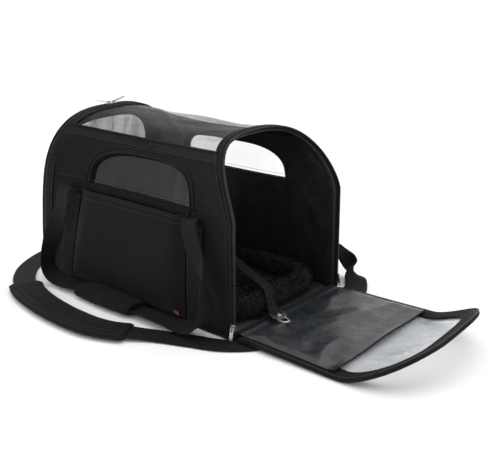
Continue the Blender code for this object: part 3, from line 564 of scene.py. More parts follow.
def zip_teeth(name, body, points, across, length=TOOTH_LONG):
    """Moulded teeth along points; across gives the way a tooth lies at a point's number."""
    heap = Heap()
    run = Run(points)
    travel = directions(points)
    for k in range(int(run.marks[-1] / TOOTH_PITCH)):
        here = run.at(k * TOOTH_PITCH)
        index = min(int(np.searchsorted(run.marks, k * TOOTH_PITCH)), len(points) - 1)
        over = across(index)
        look = over.cross(travel[index])
        if look.length < 1e-6:
            look = UP
        half = over * length / 2
        heap.bar(here - half, here + half, look.normalized(), TOOTH_WIDE, TOOTH_HIGH, taper=0.7)
    settle(heap.made(name, TEETH), body, "zip")


# ---------------------------------------------------------------- materials

class Paint:
    """A Principled material with a few short cuts for its nodes."""

    def __init__(self, name, colour, roughness, **sockets):
        self.material = bpy.data.materials.new(name)
        self.material.use_nodes = True
        self.tree = self.material.node_tree
        self.shader = self.tree.nodes["Principled BSDF"]
        self.colour = colour
        self.normal = None
        self.set(Base_Color=(*colour, 1.0), Roughness=roughness, Metallic=0.0, Specular_IOR_Level=0.5)
        self.set(**sockets)

    def set(self, **sockets):
        """Set the shader's sockets, whose names have _ for a space."""
        for key, value in sockets.items():
            self.shader.inputs[key.replace("_", " ")].default_value = value

    def node(self, kind, **values):
        made = self.tree.nodes.new(kind)
        for key, value in values.items():
            if key in made.inputs:
                made.inputs[key].default_value = value
            else:
                setattr(made, key, value)
        return made

    def link(self, output, socket):
        self.tree.links.new(output, socket)

    def place(self, kind):
        return self.node("ShaderNodeTexCoord").outputs[kind]

    def noise(self, scale, detail=3.0, rough=0.5, stretch=None):
        made = self.node("ShaderNodeTexNoise", Scale=scale, Detail=detail, Roughness=rough)
        source = self.place("Object")
        if stretch is not None:
            mapping = self.node("ShaderNodeMapping", Scale=stretch)
            self.link(source, mapping.inputs["Vector"])
            source = mapping.outputs["Vector"]
        self.link(source, made.inputs["Vector"])
        return made.outputs["Fac"]

    def wave(self, pitch, direction, distortion=0.0):
        """Bands along one way of the cloth that repeat every pitch metres."""
        made = self.node("ShaderNodeTexWave", Scale=2 * math.pi / (20 * pitch), Distortion=distortion,
                         bands_direction=direction, wave_profile="SIN")
        self.link(self.place("UV"), made.inputs["Vector"])
        return made.outputs["Fac"]

    def math(self, operation, a, b):
        made = self.node("ShaderNodeMath", operation=operation)
        for socket, value in zip(made.inputs, (a, b)):
            if isinstance(value, (int, float)):
                socket.default_value = value
            else:
                self.link(value, socket)
        return made.outputs[0]

    def spread(self, source, low, high, out_low, out_high):
        made = self.node("ShaderNodeMapRange")
        for key, value in (("From Min", low), ("From Max", high), ("To Min", out_low), ("To Max", out_high)):
            made.inputs[key].default_value = value
        self.link(source, made.inputs["Value"])
        return made.outputs["Result"]

    def blend(self, factor, first, second):
        made = self.node("ShaderNodeMix", data_type="RGBA")
        self.link(factor, made.inputs["Factor"])
        for index, value in ((6, first), (7, second)):
            if isinstance(value, tuple):
                made.inputs[index].default_value = (*value, 1.0)
            else:
                self.link(value, made.inputs[index])
        return made.outputs[2]

    def mottled(self, source, low, high, dark, light):
        """The colour at two strengths, mixed where the source lies between low and high."""
        return self.blend(self.spread(source, low, high, 0.0, 1.0), self.shade(dark), self.shade(light))

    def shade(self, factor):
        return tuple(min(channel * factor, 1.0) for channel in self.colour)

    def bump(self, height, distance, strength):
        made = self.node("ShaderNodeBump", Strength=strength, Distance=distance)
        self.link(height, made.inputs["Height"])
        if self.normal is not None:
            self.link(self.normal, made.inputs["Normal"])
        self.normal = made.outputs["Normal"]
        self.link(self.normal, self.shader.inputs["Normal"])

    def tint(self, output):
        self.link(output, self.shader.inputs["Base Color"])

    def rough(self, source, low, high, out_low, out_high):
        self.link(self.spread(source, low, high, out_low, out_high), self.shader.inputs["Roughness"])


def woven(name, colour, roughness, pitch=0.0009, weave=0.00016, slack=0.0006, lint=True):
    """Plain woven cloth: crossing threads, soft unevenness, slight fading and lint."""
    paint = Paint(name, colour, roughness, Specular_IOR_Level=0.16, Sheen_Weight=0.03, Sheen_Roughness=0.45)
    check = paint.math("MULTIPLY", paint.wave(pitch, "X"), paint.wave(pitch, "Y"))
    faded = paint.mottled(paint.noise(9.0, 4.0), 0.35, 0.7, 0.75, 1.45)
    # Raised thread crossings are painted lighter: a painted highlight on the weave.
    dotted = paint.blend(paint.math("MULTIPLY", check, 0.55), faded, paint.shade(2.2))
    if lint:
        speck = paint.spread(paint.noise(330.0, 1.0), 0.76, 0.80, 0.0, 0.35)
        dotted = paint.blend(speck, dotted, (0.10, 0.10, 0.10))
    paint.tint(dotted)
    paint.rough(paint.noise(900.0, 2.0), 0.3, 0.7, roughness - 0.1, min(roughness + 0.1, 1.0))
    paint.bump(paint.noise(55.0, 3.0), slack, 0.5)
    paint.bump(check, weave, 0.8)
    return paint.material


def ribbed(name, colour, roughness):
    """Webbing: ribs across its length, finer along it, and a slight shine on the raised threads."""
    paint = Paint(name, colour, roughness, Specular_IOR_Level=0.18, Sheen_Weight=0.02)
    rib = paint.wave(0.0021, "X", 1.2)
    height = paint.math("ADD", rib, paint.math("MULTIPLY", paint.wave(0.0010, "Y"), 0.5))
    paint.tint(paint.mottled(height, 0.4, 1.4, 0.7, 2.4))
    paint.rough(paint.noise(500.0, 2.0), 0.3, 0.7, roughness - 0.12, roughness + 0.12)
    paint.bump(paint.noise(40.0, 2.0), 0.0005, 0.4)
    paint.bump(height, 0.00035, 0.9)
    return paint.material


def coated(name, colour, roughness, crease=0.0010, specular=0.5, coat=0.0):
    """Coated lining: smooth, softly shining and full of small creases."""
    paint = Paint(name, colour, roughness, Specular_IOR_Level=specular, Coat_Weight=coat, Coat_Roughness=0.25)
    large = paint.noise(24.0, 4.0, 0.6, stretch=(1.0, 2.4, 1.0))
    small = paint.noise(120.0, 3.0)
    # Colour follows the crease relief: painted shade in the crease hollows and painted highlight along their
    # crests.
    paint.tint(paint.mottled(large, 0.35, 0.65, 0.7, 1.4))
    paint.rough(small, 0.3, 0.7, roughness - 0.08, roughness + 0.12)
    paint.bump(large, crease, 0.8)
    paint.bump(small, 0.0002, 0.5)
    paint.bump(paint.math("MULTIPLY", paint.wave(0.0007, "X"), paint.wave(0.0007, "Y")), 0.00005, 0.5)
    return paint.material


def clear_sheet(name, haze, crease, tint, edge_haze, least=0.0):
    """Clear soft film: mostly see-through, cloudier at a slant and along its creases."""
    paint = Paint(name, tint, 0.12, Specular_IOR_Level=0.35)
    facing = paint.node("ShaderNodeLayerWeight", Blend=0.35).outputs["Fresnel"]
    large = paint.noise(16.0, 4.0, 0.6, stretch=(1.0, 3.0, 1.0))
    cloud = paint.spread(large, 0.42, 0.72, least, max(haze, least))
    slant = paint.spread(facing, 0.05, 0.9, haze * 0.6, edge_haze)
    paint.link(paint.math("ADD", cloud, slant), paint.shader.inputs["Alpha"])
    paint.rough(paint.noise(60.0, 3.0), 0.3, 0.7, 0.06, 0.22)
    paint.bump(large, crease, 0.7)
    paint.bump(paint.noise(90.0, 2.0), 0.0002, 0.4)
    return paint.material


def metal(name, colour, roughness):
    """Plated metal with fine brushing, smudges and duller patches."""
    paint = Paint(name, colour, roughness, Metallic=1.0)
    smudge = paint.noise(70.0, 4.0)
    paint.tint(paint.mottled(smudge, 0.4, 0.7, 1.0, 0.62))
    paint.rough(smudge, 0.3, 0.75, roughness - 0.07, roughness + 0.18)
    paint.bump(paint.noise(300.0, 2.0, stretch=(1.0, 1.0, 14.0)), 0.00004, 0.6)
    return paint.material


def moulded(name, colour, roughness):
    """Hard plastic with a fine grain."""
    paint = Paint(name, colour, roughness)
    grain = paint.noise(420.0, 2.0)
    paint.tint(paint.blend(paint.noise(30.0), paint.shade(0.7), paint.shade(1.5)))
    paint.rough(grain, 0.3, 0.7, roughness - 0.1, roughness + 0.12)
    paint.bump(grain, 0.00008, 0.6)
    return paint.material


def furry(name, colour):
    """Deep plush pile: dark between the tufts, soft sheen on their tips."""
    paint = Paint(name, colour, 0.9, Specular_IOR_Level=0.15, Sheen_Weight=0.5, Sheen_Roughness=0.35,
                  Sheen_Tint=(0.25, 0.25, 0.25, 1.0))
    clump = paint.noise(110.0, 4.0, 0.65)
    paint.tint(paint.mottled(clump, 0.35, 0.7, 0.35, 2.4))
    paint.bump(clump, 0.0022, 1.0)
    paint.bump(paint.noise(520.0, 2.0), 0.0006, 0.8)
    return paint.material


def fine(name, colour, roughness, pitch=0.0006, slack=0.0002):
    """Close cloth without lint, for piping, tape and tags."""
    return woven(name, colour, roughness, pitch, slack=slack, lint=False)


NYLON = woven("black_nylon", (0.0032, 0.0032, 0.0033), 0.80)
NYLON_PIPING = fine("black_piping", (0.0034, 0.0034, 0.0036), 0.62, pitch=0.0007)
WEBBED = ribbed("black_webbing", (0.0030, 0.0030, 0.0031), 0.74)
LINING = coated("cabin_lining", (0.0085, 0.0085, 0.0088), 0.44, 0.0018, specular=0.42)
SATIN = coated("satin_lining", (0.0150, 0.0175, 0.0205), 0.32, 0.0012, specular=0.60, coat=0.20)
FILM = clear_sheet("roof_film", 0.16, 0.0012, (0.030, 0.032, 0.034), 0.30)
DOOR_FILM = clear_sheet("door_film", 0.30, 0.0012, (0.50, 0.52, 0.55), 0.45)
# The near window's film is near-black and mostly opaque: painted shade of the dark cabin behind it.
WINDOW_FILM = {"near": clear_sheet("shade_darkened_film", 0.55, 0.0016, (0.010, 0.0105, 0.011), 0.92, 0.62),
               "far": clear_sheet("side_film", 0.05, 0.0010, (0.30, 0.31, 0.32), 0.10)}
TAPE = fine("zip_tape", (0.0085, 0.0085, 0.0090), 0.6)
TEETH = moulded("zip_teeth", (0.010, 0.010, 0.011), 0.32)
NICKEL = metal("nickel", (0.62, 0.61, 0.60), 0.24)
PLUSH = furry("black_plush", (0.0050, 0.0050, 0.0052))
BOARD = coated("floor_lining", (0.012, 0.012, 0.013), 0.55, 0.0006)
THREAD = moulded("thread", (0.014, 0.014, 0.015), 0.5)
PATCH = fine("woven_patch", (0.20, 0.050, 0.055), 0.7, slack=0.0001)


# ---------------------------------------------------------------- side walls and windows

def arch_outline(grow, steps=ARCH_STEPS):
    """Outline x, z of a side window, from its front sill corner over to its rear one."""
    half = (WINDOW_RIGHT - WINDOW_LEFT) / 2 + grow
    middle = (WINDOW_RIGHT + WINDOW_LEFT) / 2
    tall = WINDOW_TOP - SEAM_HEIGHT + grow
    power = 2 / WINDOW_POWER
    outline = []
    for k in range(steps + 1):
        turn = math.pi * k / steps
        reach, _ = rounded(turn, power)
        outline.append((middle + half * reach, SEAM_HEIGHT + tall * max(math.sin(turn), 0.0) ** power))
    return outline


def arch_prism(side, grow, sill):
    """Block in the shape of a side window that reaches through its wall."""
    outline = [(x, max(z, SEAM_HEIGHT + 0.0001) if 0 < k < ARCH_STEPS else sill)
               for k, (x, z) in enumerate(arch_outline(grow))]
    rings = [[Vector((x, side * y, z)) for x, z in outline] for y in (0.04, 0.20)]
    return lofted("window_tool", rings, NYLON)


def trimmed(target, tool, operation):
    """Cut one mesh with another now, and drop the tool."""
    change = target.modifiers.new("trim", "BOOLEAN")
    change.object = tool
    change.operation = operation
    change.solver = "EXACT"
    graph = bpy.context.evaluated_depsgraph_get()
    mesh = bpy.data.meshes.new_from_object(target.evaluated_get(graph))
    target.modifiers.clear()
    target.data = mesh
    bpy.data.objects.remove(tool, do_unlink=True)
    mesh.shade_smooth()
    mesh.set_sharp_from_angle(angle=math.radians(50))
    return target


def outer_relief(side, x, z):
    """How far a wall's outside stands out from its plain surface."""
    upper = smooth_step(0.180, 0.200, z)
    relief = 0.0007 * cloudy(x * 14, z * 14, side, 2)
    relief += upper * 0.0019 * creased(x * 11, z * 15, 4.0 + side, 0.5, 3.0)
    relief += upper * 0.0016 * math.sin(math.pi * clamp((z - SEAM_HEIGHT) / (EDGE_HEIGHT - SEAM_HEIGHT)))
    relief -= 0.0015 * math.exp(-((z - SEAM_HEIGHT - 0.0015) / 0.0022) ** 2)
    return relief


def inner_relief(side, x, z):
    """The lining hangs in long slanting creases, stronger towards the mouth of the bag."""
    mouth = smooth_step(0.09, 0.17, x)
    high = smooth_step(0.03, 0.22, z)
    relief = (0.0008 + 0.0016 * mouth) * creased(x * 16, z * 13, 9.0 + side, -0.7, 3.0) * (0.4 + 0.6 * high)
    return relief + 0.0010 * cloudy(x * 20, z * 20, side * 5, 3)


def make_wall(label, side):
    """Side wall with its lining, cut open for the window."""
    heights = evenly(WALL_FOOT, 0.150, 20) + evenly(0.150, EDGE_HEIGHT, 42)[1:]

    def spot(u, station, inner):
        plain = shell_point(u, station, WALL_INSET)
        if inner:
            inset = WALL_INSET + WALL - 0.001 + inner_relief(side, plain.x, plain.z)
        else:
            inset = WALL_INSET - outer_relief(side, plain.x, plain.z)
        return side_point(side, u, station, inset)

    skins = layers(evenly(0.0, 1.0, 110), [side_station(height) for height in heights], spot, (False, True))
    wall = two_skins("side_wall_fabric_" + label, *skins, NYLON, LINING)
    trimmed(wall, arch_prism(side, 0.0, SEAM_HEIGHT - 0.0001), "DIFFERENCE")
    settle(wall, "shell", "nylon", "side_wall_" + label)


def make_window(label, side):
    xs = evenly(WINDOW_LEFT - 0.004, WINDOW_RIGHT + 0.004, 60)
    zs = evenly(SEAM_HEIGHT - 0.003, WINDOW_TOP + 0.004, 24)

    def spot(x, z, extra):
        crease = 0.0011 * creased(x * 26, z * 9, 2.0 + side, 1.45, 2.2)
        return wall_point(side, x, z, WALL_INSET + 0.0030 + crease + extra)

    window = two_skins("side_window_film_" + label, *layers(xs, zs, spot, (0.0, 0.0008)), WINDOW_FILM[label])
    trimmed(window, arch_prism(side, 0.0010, SEAM_HEIGHT - 0.0010), "INTERSECT")
    settle(window, "shell", "film", "side_window_" + label)


def on_wall(side, x, z, out):
    """Point at a distance out from the finished outside of a wall."""
    return wall_point(side, x, z, WALL_INSET - outer_relief(side, x, z) - out)


def wall_normal(side, z):
    """The way a wall faces outside at a height."""
    station = side_station(z)
    return Vector((0.0, side * station[2], -station[3])).normalized()


def sew_wall(side, row):
    """Stitches that lie on a side wall or its pocket."""
    sew("shell", row, lambda p: wall_normal(side, p.z))


def make_window_trim(label, side):
    """Piping and stitches round the window, the seam below it and the cabin's inner seam."""
    for name, grow, radius, nodes in (
            ("window_piping_", PIPING_INSIDE_WINDOW, 0.0016, ("window_piping_" + label,)),
            ("window_border_", PIPING_OUTSIDE_WINDOW, 0.0012, ())):
        arc = [on_wall(side, x, z, radius * 0.55) for x, z in arch_outline(grow, 60)]
        bead(name + label + "_bead", arc, radius, nodes=nodes, spacing=PIPING_STEP, sides=10, wobble=0.10)
    row = [on_wall(side, x, z, 0.0002) for x, z in arch_outline(STITCHES_ROUND_WINDOW, 60)]
    sew_wall(side, smooth_route(row, ROUTE_STEP))
    seam_x = evenly(-0.2035, 0.2125, 90)
    bead("wall_seam_" + label, [on_wall(side, x, SEAM_HEIGHT + 0.0006, 0.0003) for x in seam_x], 0.0011)
    sew_wall(side, smooth_route([on_wall(side, x, SEAM_HEIGHT + 0.0060, 0.0002) for x in seam_x], ROUTE_STEP))
    arch = [wall_point(side, x, max(z, 0.184), LINED + 0.0004) for x, z in arch_outline(0.004)]
    legs = [(0.1400, 0.035), (0.1365, 0.075), (0.1345, 0.120), (0.1345, 0.165),
            (-0.1030, 0.165), (-0.1050, 0.120), (-0.1080, 0.075), (-0.1110, 0.035)]
    legs = [wall_point(side, x, z, LINED + 0.0006) for x, z in legs]
    bead("cabin_seam_" + label, legs[:4] + arch[2:-2:4] + legs[4:], 0.0017, wobble=0.10)


def make_top_edge(label, side):
    """Folded binding and piping where the roof film meets the wall."""
    heights = [EDGE_HEIGHT + rise for rise in (-0.0105, -0.006, -0.001, 0.0035)]

    def spot(u, height, depth):
        inset = WALL_INSET - 0.0024 + depth - 0.0003 * cloudy(u * 30, height * 40, side, 2)
        return side_point(side, u, side_station(height), inset)

    skins = layers(evenly(0.0, 1.0, 80), heights, spot, (0.0, 0.0014))
    binding = two_skins("top_binding_tape_" + label, *skins, NYLON_PIPING)
    settle(binding, "shell", "nylon", "top_binding_" + label)
    station = side_station(EDGE_HEIGHT + 0.0030)
    edge = [side_point(side, u, station, WALL_INSET - 0.0030) for u in evenly(0.0, 1.0, 100)]
    bead("top_piping_" + label, edge, 0.0019, spacing=PIPING_STEP, sides=10, wobble=0.10)
    station = side_station(EDGE_HEIGHT - 0.0080)
    lower = [side_point(side, u, station, WALL_INSET - 0.0027) for u in evenly(0.005, 0.995, 100)]
    sew("shell", lower, lambda p: wall_normal(side, min(p.z, 0.280)))


# ---------------------------------------------------------------- pockets

def pocket_offset(x, z):
    from_side = min(x - POCKET_LEFT, POCKET_RIGHT - x) / 0.035
    from_foot = (z - POCKET_FOOT) / 0.045
    share = min(clamp(from_side), clamp(from_foot))
    soft = 1 - 0.20 * smooth_step(0.10, POCKET_TOP, z)
    return POCKET_DEPTH * math.sin(share * math.pi / 2) * soft


def pocket_out(side, x, z):
    """Depth of the outside of a pocket below the hoops' outline."""
    hem = 0.0007 * smooth_step(POCKET_TOP - 0.0140, POCKET_TOP - 0.0125, z)
    slack = 0.0009 * creased(x * 9, z * 9, 6.0 + side, 0.25, 2.5) + 0.0006 * cloudy(x * 22, z * 22, side, 2)
    across = math.sin(math.pi * clamp((x - POCKET_LEFT) / (POCKET_RIGHT - POCKET_LEFT)))
    gape = 0.0015 * smooth_step(0.12, POCKET_TOP, z) * across ** 2
    inside = clamp(pocket_offset(x, z) / 0.004)
    return WALL_INSET - 0.0009 - 0.0022 - pocket_offset(x, z) - inside * slack - hem * inside - gape


def on_pocket(side, x, z, extra=0.0):
    """Point of a pocket's outside, or at an extra depth behind it."""
    return slanted(side, x, z, pocket_out(side, x, z) + extra)


def make_pocket(label, side):
    """Pocket with its hem and stitches, the band above it and its piped lip."""
    xs = evenly(POCKET_LEFT, POCKET_RIGHT, 90)
    zs = evenly(POCKET_FOOT, POCKET_TOP - 0.0145, 40) + evenly(POCKET_TOP - 0.0135, POCKET_TOP, 10)
    skins = layers(xs, zs, lambda x, z, extra: on_pocket(side, x, z, extra), (0.0, 0.0016))
    settle(two_skins("pocket_cloth_" + label, *skins, NYLON, LINING), "shell", "nylon", "pocket_" + label)
    for drop in (0.0030, 0.0118):
        sew_wall(side, [on_pocket(side, x, POCKET_TOP - drop) for x in xs[2:-2]])

    def spot(x, share, extra):
        z = POCKET_TOP - 0.0010 + (SEAM_HEIGHT - 0.0005 - POCKET_TOP + 0.0010) * share
        off = 0.0030 - 0.0012 * share + 0.0004 * cloudy(x * 30, share, side, 2)
        return slanted(side, x, z, WALL_INSET - off + extra)

    xs = evenly(POCKET_LEFT - 0.003, POCKET_RIGHT + 0.003, 80)
    skins = layers(xs, evenly(0.0, 1.0, 5), spot, (0.0, 0.0013))
    settle(two_skins("pocket_band_" + label, *skins, NYLON), "shell", "nylon")
    lip = [on_pocket(side, x, POCKET_TOP, 0.0004) for x in evenly(POCKET_LEFT, POCKET_RIGHT, 80)]
    bead("pocket_lip_" + label, lip, 0.0013)


def make_anchors(label, side):
    """Upright webbing that carries the handles, stitched along its edges and boxed at its top."""
    low, high = 0.144, ANCHOR_TOP - 0.0040
    box = (((-1, low), (1, high)), ((1, low), (-1, high)), ((-1, low), (1, low)), ((-1, high), (1, high)))
    for where, middle in ANCHOR_AT.items():
        heights = evenly(0.007, ANCHOR_TOP + 0.0010, 60)
        points = [slanted(side, middle, z, SEWN_ON - WEBBING / 2) for z in heights]
        looks = [wall_normal(side, p.z) for p in points]
        piece = ribbon("upright_webbing_%s_%s" % (label, where), points, looks, ANCHOR_WIDTH, WEBBING, WEBBED,
                       pucker=0.0002)
        settle(piece, "shell", "webbing", "anchor_webbing_%s_%s" % (label, where))
        for edge in (-1, 1):
            x = middle + edge * (ANCHOR_WIDTH / 2 - 0.0032)
            row = [slanted(side, x, z, SEWN_ON - WEBBING) for z in evenly(0.010, ANCHOR_TOP - 0.0030, 50)]
            sew_wall(side, row)
        for start, end in box:
            row = [slanted(side, middle + a * (ANCHOR_WIDTH / 2 - 0.0040), z, SEWN_ON - WEBBING)
                   for a, z in zip(evenly(start[0], end[0], 8), evenly(start[1], end[1], 8))]
            sew_wall(side, row)


# ---------------------------------------------------------------- carry handles

def handle_route(side):
    rear_at = slanted(side, ANCHOR_AT["rear"], ANCHOR_TOP, 0.0).x
    rear_wall = wall_point(side, rear_at, 0.171, 0.0).y * side
    front_wall = wall_point(side, ANCHOR_AT["front"], 0.171, 0.0).y * side
    route = [(rear_at, rear_wall + 0.0045, FOLD_HEIGHT), (rear_at - 0.002, rear_wall + 0.011, 0.1755),
             (rear_at - 0.005, rear_wall + 0.021, 0.1695), (-0.142, 0.148, 0.142), (-0.154, 0.152, 0.110),
             (-0.166, 0.157, 0.076), (-0.176, 0.160, 0.046), (-0.174, 0.161, 0.026), (-0.157, 0.161, 0.0150),
             (-0.125, 0.160, 0.0115), (-0.0900, 0.159, 0.011), (-0.0200, 0.159, 0.011),
             (0.0500, 0.159, 0.011), (0.085, 0.160, 0.0115), (0.125, 0.161, 0.0115),
             (0.164, 0.161, 0.0150), (0.190, 0.160, 0.028), (0.196, 0.157, 0.052), (0.188, 0.153, 0.086),
             (0.175, 0.149, 0.120), (0.161, 0.147, 0.146), (0.153, front_wall + 0.021, 0.1695),
             (0.149, front_wall + 0.011, 0.1755), (0.147, front_wall + 0.0045, FOLD_HEIGHT)]
    if side > 0:
        low = [(-0.150, 0.152, 0.110), (-0.152, 0.156, 0.076), (-0.149, 0.160, 0.048), (-0.138, 0.161, 0.028),
               (-0.120, 0.161, 0.0165), (-0.104, 0.160, 0.0120), (-0.0900, 0.159, 0.011),
               (-0.0200, 0.159, 0.011), (0.0500, 0.159, 0.011), (0.064, 0.160, 0.0120),
               (0.082, 0.161, 0.0165), (0.100, 0.161, 0.028), (0.113, 0.160, 0.048),
               (0.122, 0.155, 0.076), (0.128, 0.150, 0.110), (0.135, 0.148, 0.142)]
        fold = [(x - draw, y, z) for draw, (x, y, z) in zip((0.010, 0.003, 0.0), route[-3:])]
        route = route[:4] + low + fold
    return [Vector((x, y * side, z)) for x, y, z in route]


def make_handle(label, side):
    """One strap for a handle: it folds over at the wall and lies flat in its middle."""
    points = smooth_route(handle_route(side), ROUTE_STEP)
    looks = []
    for k in range(len(points)):
        along = k / (len(points) - 1)
        from_end = min(along, 1 - along)
        flat = clamp((from_end - 0.24) / 0.10)
        over = math.radians(90) * max(0.0, (0.0325 - from_end) / 0.022)
        turn = clamp((from_end - 0.08) / 0.13) * (1 - flat) if side < 0 else 0.0
        outwards = side * (1 - flat) * (1 - turn) * math.cos(over)
        upwards = 0.15 * (1 - flat) + flat + math.sin(over)
        looks.append(Vector((math.copysign(turn, 0.5 - along), outwards, upwards)))
    strap = ribbon("handle_strap_" + label, points, looks, ANCHOR_WIDTH - 0.002, WEBBING, WEBBED,
                   cup=0.0006, pucker=0.0003)
    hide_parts("handle_webbing_" + label)
    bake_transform(strap)


def make_grip(label, side):
    """Padded wrap round the middle of a handle, with an overlapping edge and stitched ends."""
    body = label + "_handle"
    outer, inner = [], []
    for a in evenly(-1.0, 1.0, 60):
        x = GRIP_CENTRE[0] + GRIP_LENGTH / 2 * a
        centre = Vector((x, side * GRIP_CENTRE[1], GRIP_CENTRE[2]))
        bulge = 1 - 0.12 * a * a - 0.10 * smooth_step(0.93, 1.0, abs(a))
        ring = []
        for turn in turns(48):
            across, up = rounded(turn, 0.72, 0.80)
            c, s = math.cos(turn), math.sin(turn)
            fold = 0.0012 * smooth_step(0.0, 0.25, math.cos(turn - 0.9))
            fold *= smooth_step(0.99, 0.90, math.cos(turn - 0.2))
            soft = 0.0007 * creased(x * 30, turn * 1.2, 3.0 + side, 1.3, 2.0)
            soft += 0.0004 * cloudy(x * 60, c, s, 2)
            size = bulge + (soft + fold) / 0.012
            ring.append(centre + Vector((0, across * GRIP_WIDTH / 2 * size, up * GRIP_HEIGHT / 2 * size)))
        outer.append(ring)
        inner.append([centre + (point - centre) * 0.80 for point in ring])
    grip = lofted("grip_pad_" + label, [inner[0]] + outer + [inner[-1]], NYLON, sharp=60)
    settle(grip, body, "nylon", "handle_grip_" + label)
    for a in (-0.95, 0.95):
        ring = outer[round((a + 1) / 2 * 59)]
        middle = sum(ring, Vector()) / len(ring)
        sew(body, ring + [ring[0]], lambda p, m=middle: (p - m).normalized(), HEAVY_STITCH_PITCH)
    sew(body, [ring[5] for ring in outer[1:-1]], UP, HEAVY_STITCH_PITCH)
    bead("grip_edge_" + label, [ring[7] for ring in outer[1:-1:2]], 0.0011, body, spacing=None)


# ---------------------------------------------------------------- roof film

def ridge(x, y, start, end, height, width):
    """A soft raised crease along a line on the roof."""
    a, b, p = Vector(start), Vector(end), Vector((x, y))
    t = clamp((p - a).dot(b - a) / (b - a).length_squared)
    off = (p - (a + (b - a) * t)).length
    return height * math.exp(-(off / width) ** 2) * math.sin(math.pi * clamp(0.15 + 0.7 * t))


def roof_lift(x, y):
    """Height of the film's two long ridges and its slighter creases."""
    lift = ridge(x, y, (-0.150, 0.085), (0.165, 0.004), 0.0035, 0.010)
    lift += ridge(x, y, (0.080, -0.080), (-0.136, 0.070), 0.0028, 0.008)
    lift += 0.0013 * creased(x * 12, y * 12, 5.0, 0.35, 3.0)
    return lift + 0.0011 * creased(x * 22, y * 20, 8.0, -0.5, 2.5)


def make_roof():
    edge = side_station(EDGE_HEIGHT - 0.0030)
    stations = [station for station in outline_stations(520, WALL_FOOT) if station[1] > edge[1]][::4]

    def spot(u, station, extra):
        plain = shell_point(u, station, WALL_INSET)
        free = 4 * u * (1 - u)
        lift = roof_lift(plain.x, plain.y) * (0.25 + 0.75 * free)
        return shell_point(u, station, WALL_INSET - lift + extra)

    roof = two_skins("roof_film", *layers(evenly(0.0, 1.0, 110), stations, spot, (0.0, 0.0009)), FILM)
    settle(roof, "shell", "film", "roof_window")


# ---------------------------------------------------------------- hoops and zips

def hoop_tape(name, end, backs, insets, paint, slot, foot=HOOP_FOOT, nodes=()):
    """Flat cloth band that follows a hoop; backs and insets give its section."""
    def spot(station, place, extra):
        back, inset = place
        waver = 0.0 if extra else 0.00025 * cloudy(station[0] * 60, station[1] * 60, back * 90, 2)
        return hoop_point(end, station, back, inset + waver + extra)

    skins = layers(outline_stations(200, foot), list(zip(backs, insets)), spot, (0.0, 0.0009))
    settle(two_skins(end + name, *skins, paint), "shell", slot, *nodes)


def make_hoop(end, sleeve_at, tape_edge, teeth_edge, inner_end):
    """The piped hoop of one mouth, with its flange, lining, zip tape and teeth, at depths behind its rim."""
    points = [hoop_point(end, station, sleeve_at, HOOP_INSET) for station in outline_stations(240, HOOP_FOOT)]
    bead(end + "_hoop_cover", points, HOOP_RADIUS, nodes=(end + "_hoop_sleeve", end + "_hoop_wire"),
         spacing=None, sides=12, wobble=0.08)
    seam = sleeve_at + 0.0041
    hoop_tape("_hoop_flange", end, (sleeve_at + 0.0015, seam - 0.0015, seam + 0.0035, seam + 0.0060),
              (0.0012, 0.0008, 0.0009, 0.0012), NYLON, "nylon")
    hoop_tape("_hoop_lining", end, (sleeve_at - 0.0045, sleeve_at - 0.0020, sleeve_at + 0.0020, inner_end),
              (0.0062, 0.0076, 0.0078, 0.0086), LINING, "nylon")
    backs = (sleeve_at - 0.0012, sleeve_at - 0.0030, tape_edge, (tape_edge + teeth_edge) / 2, teeth_edge)
    hoop_tape("_zip_tape", end, backs, (0.0062, 0.0040, 0.0012, 0.0011, 0.0012), TAPE, "zip", 0.0075,
              (end + "_zip_fixed",))
    teeth_at = teeth_edge + math.copysign(0.0011, tape_edge - teeth_edge)
    points = [hoop_point(end, station, teeth_at, 0.0008) for station in outline_stations(260, 0.012)]
    zip_teeth(end + "_zip_teeth", "shell", points, lambda k: FORWARDS)
    row = [hoop_point(end, station, seam + 0.0036, 0.0008) for station in outline_stations(200, 0.010)]
    sew("shell", row, lambda p: Vector((0, p.y, max(p.z - SPRING_LINE, 0.0))).normalized())


# ---------------------------------------------------------------- doors

def door_outline(inset, foot):
    """Closed D outline, near leg up, over, down the far leg and back along the foot."""
    arch = [(y + inset * ny, z + inset * nz) for y, z, ny, nz in outline_stations(170, foot)]
    half = -arch[0][0]
    return arch + [(y, foot) for y in evenly(half, -half, 50)[1:-1]]


def door_rows(inset, foot, count=130):
    """Half width and height of each level of a door."""
    stations = [station for station in outline_stations(count, foot) if station[0] <= 1e-6]
    return [(-(y + inset * ny), z + inset * nz) for y, z, ny, nz in stations][:-1]


def make_door(end, place, outside, inside, seed):
    """Padded cloth frame, film window, piping and zip of one door; outside and inside are depths."""
    away = math.copysign(1.0, outside - inside)
    middle = (outside + inside) / 2
    make_door_cloth(end, place, outside, inside, away, seed)
    make_door_film(end, place, middle, away, seed)
    body = end + "_door"
    loop = [place(y, z, middle) for y, z in door_outline(DOOR_INSET + 0.0003, DOOR_FOOT + 0.0006)]
    bead(end + "_door_piping", loop[::2], 0.0026, body, (), PIPING_STEP, True, 12, 0.08)
    hem = [place(y, z, middle - away * 0.0027)
           for y, z in door_outline(DOOR_FRAME - 0.0008, DOOR_FOOT + DOOR_FRAME - 0.0008)]
    bead(end + "_door_hem", hem[::2], WELT, body, closed=True)
    make_door_zip(end, place, inside - away * 0.0012, away)
    look = (place(0, 0.1, inside) - place(0, 0.1, outside)).normalized()
    for inset in (0.0105, 0.0215):
        for depth, facing in ((inside - away * 0.0010, look), (outside + away * 0.0010, look * -1.0)):
            row = [place(y, z, depth) for y, z in door_outline(inset, DOOR_FOOT + inset)]
            sew(body, row + [row[0]], facing)


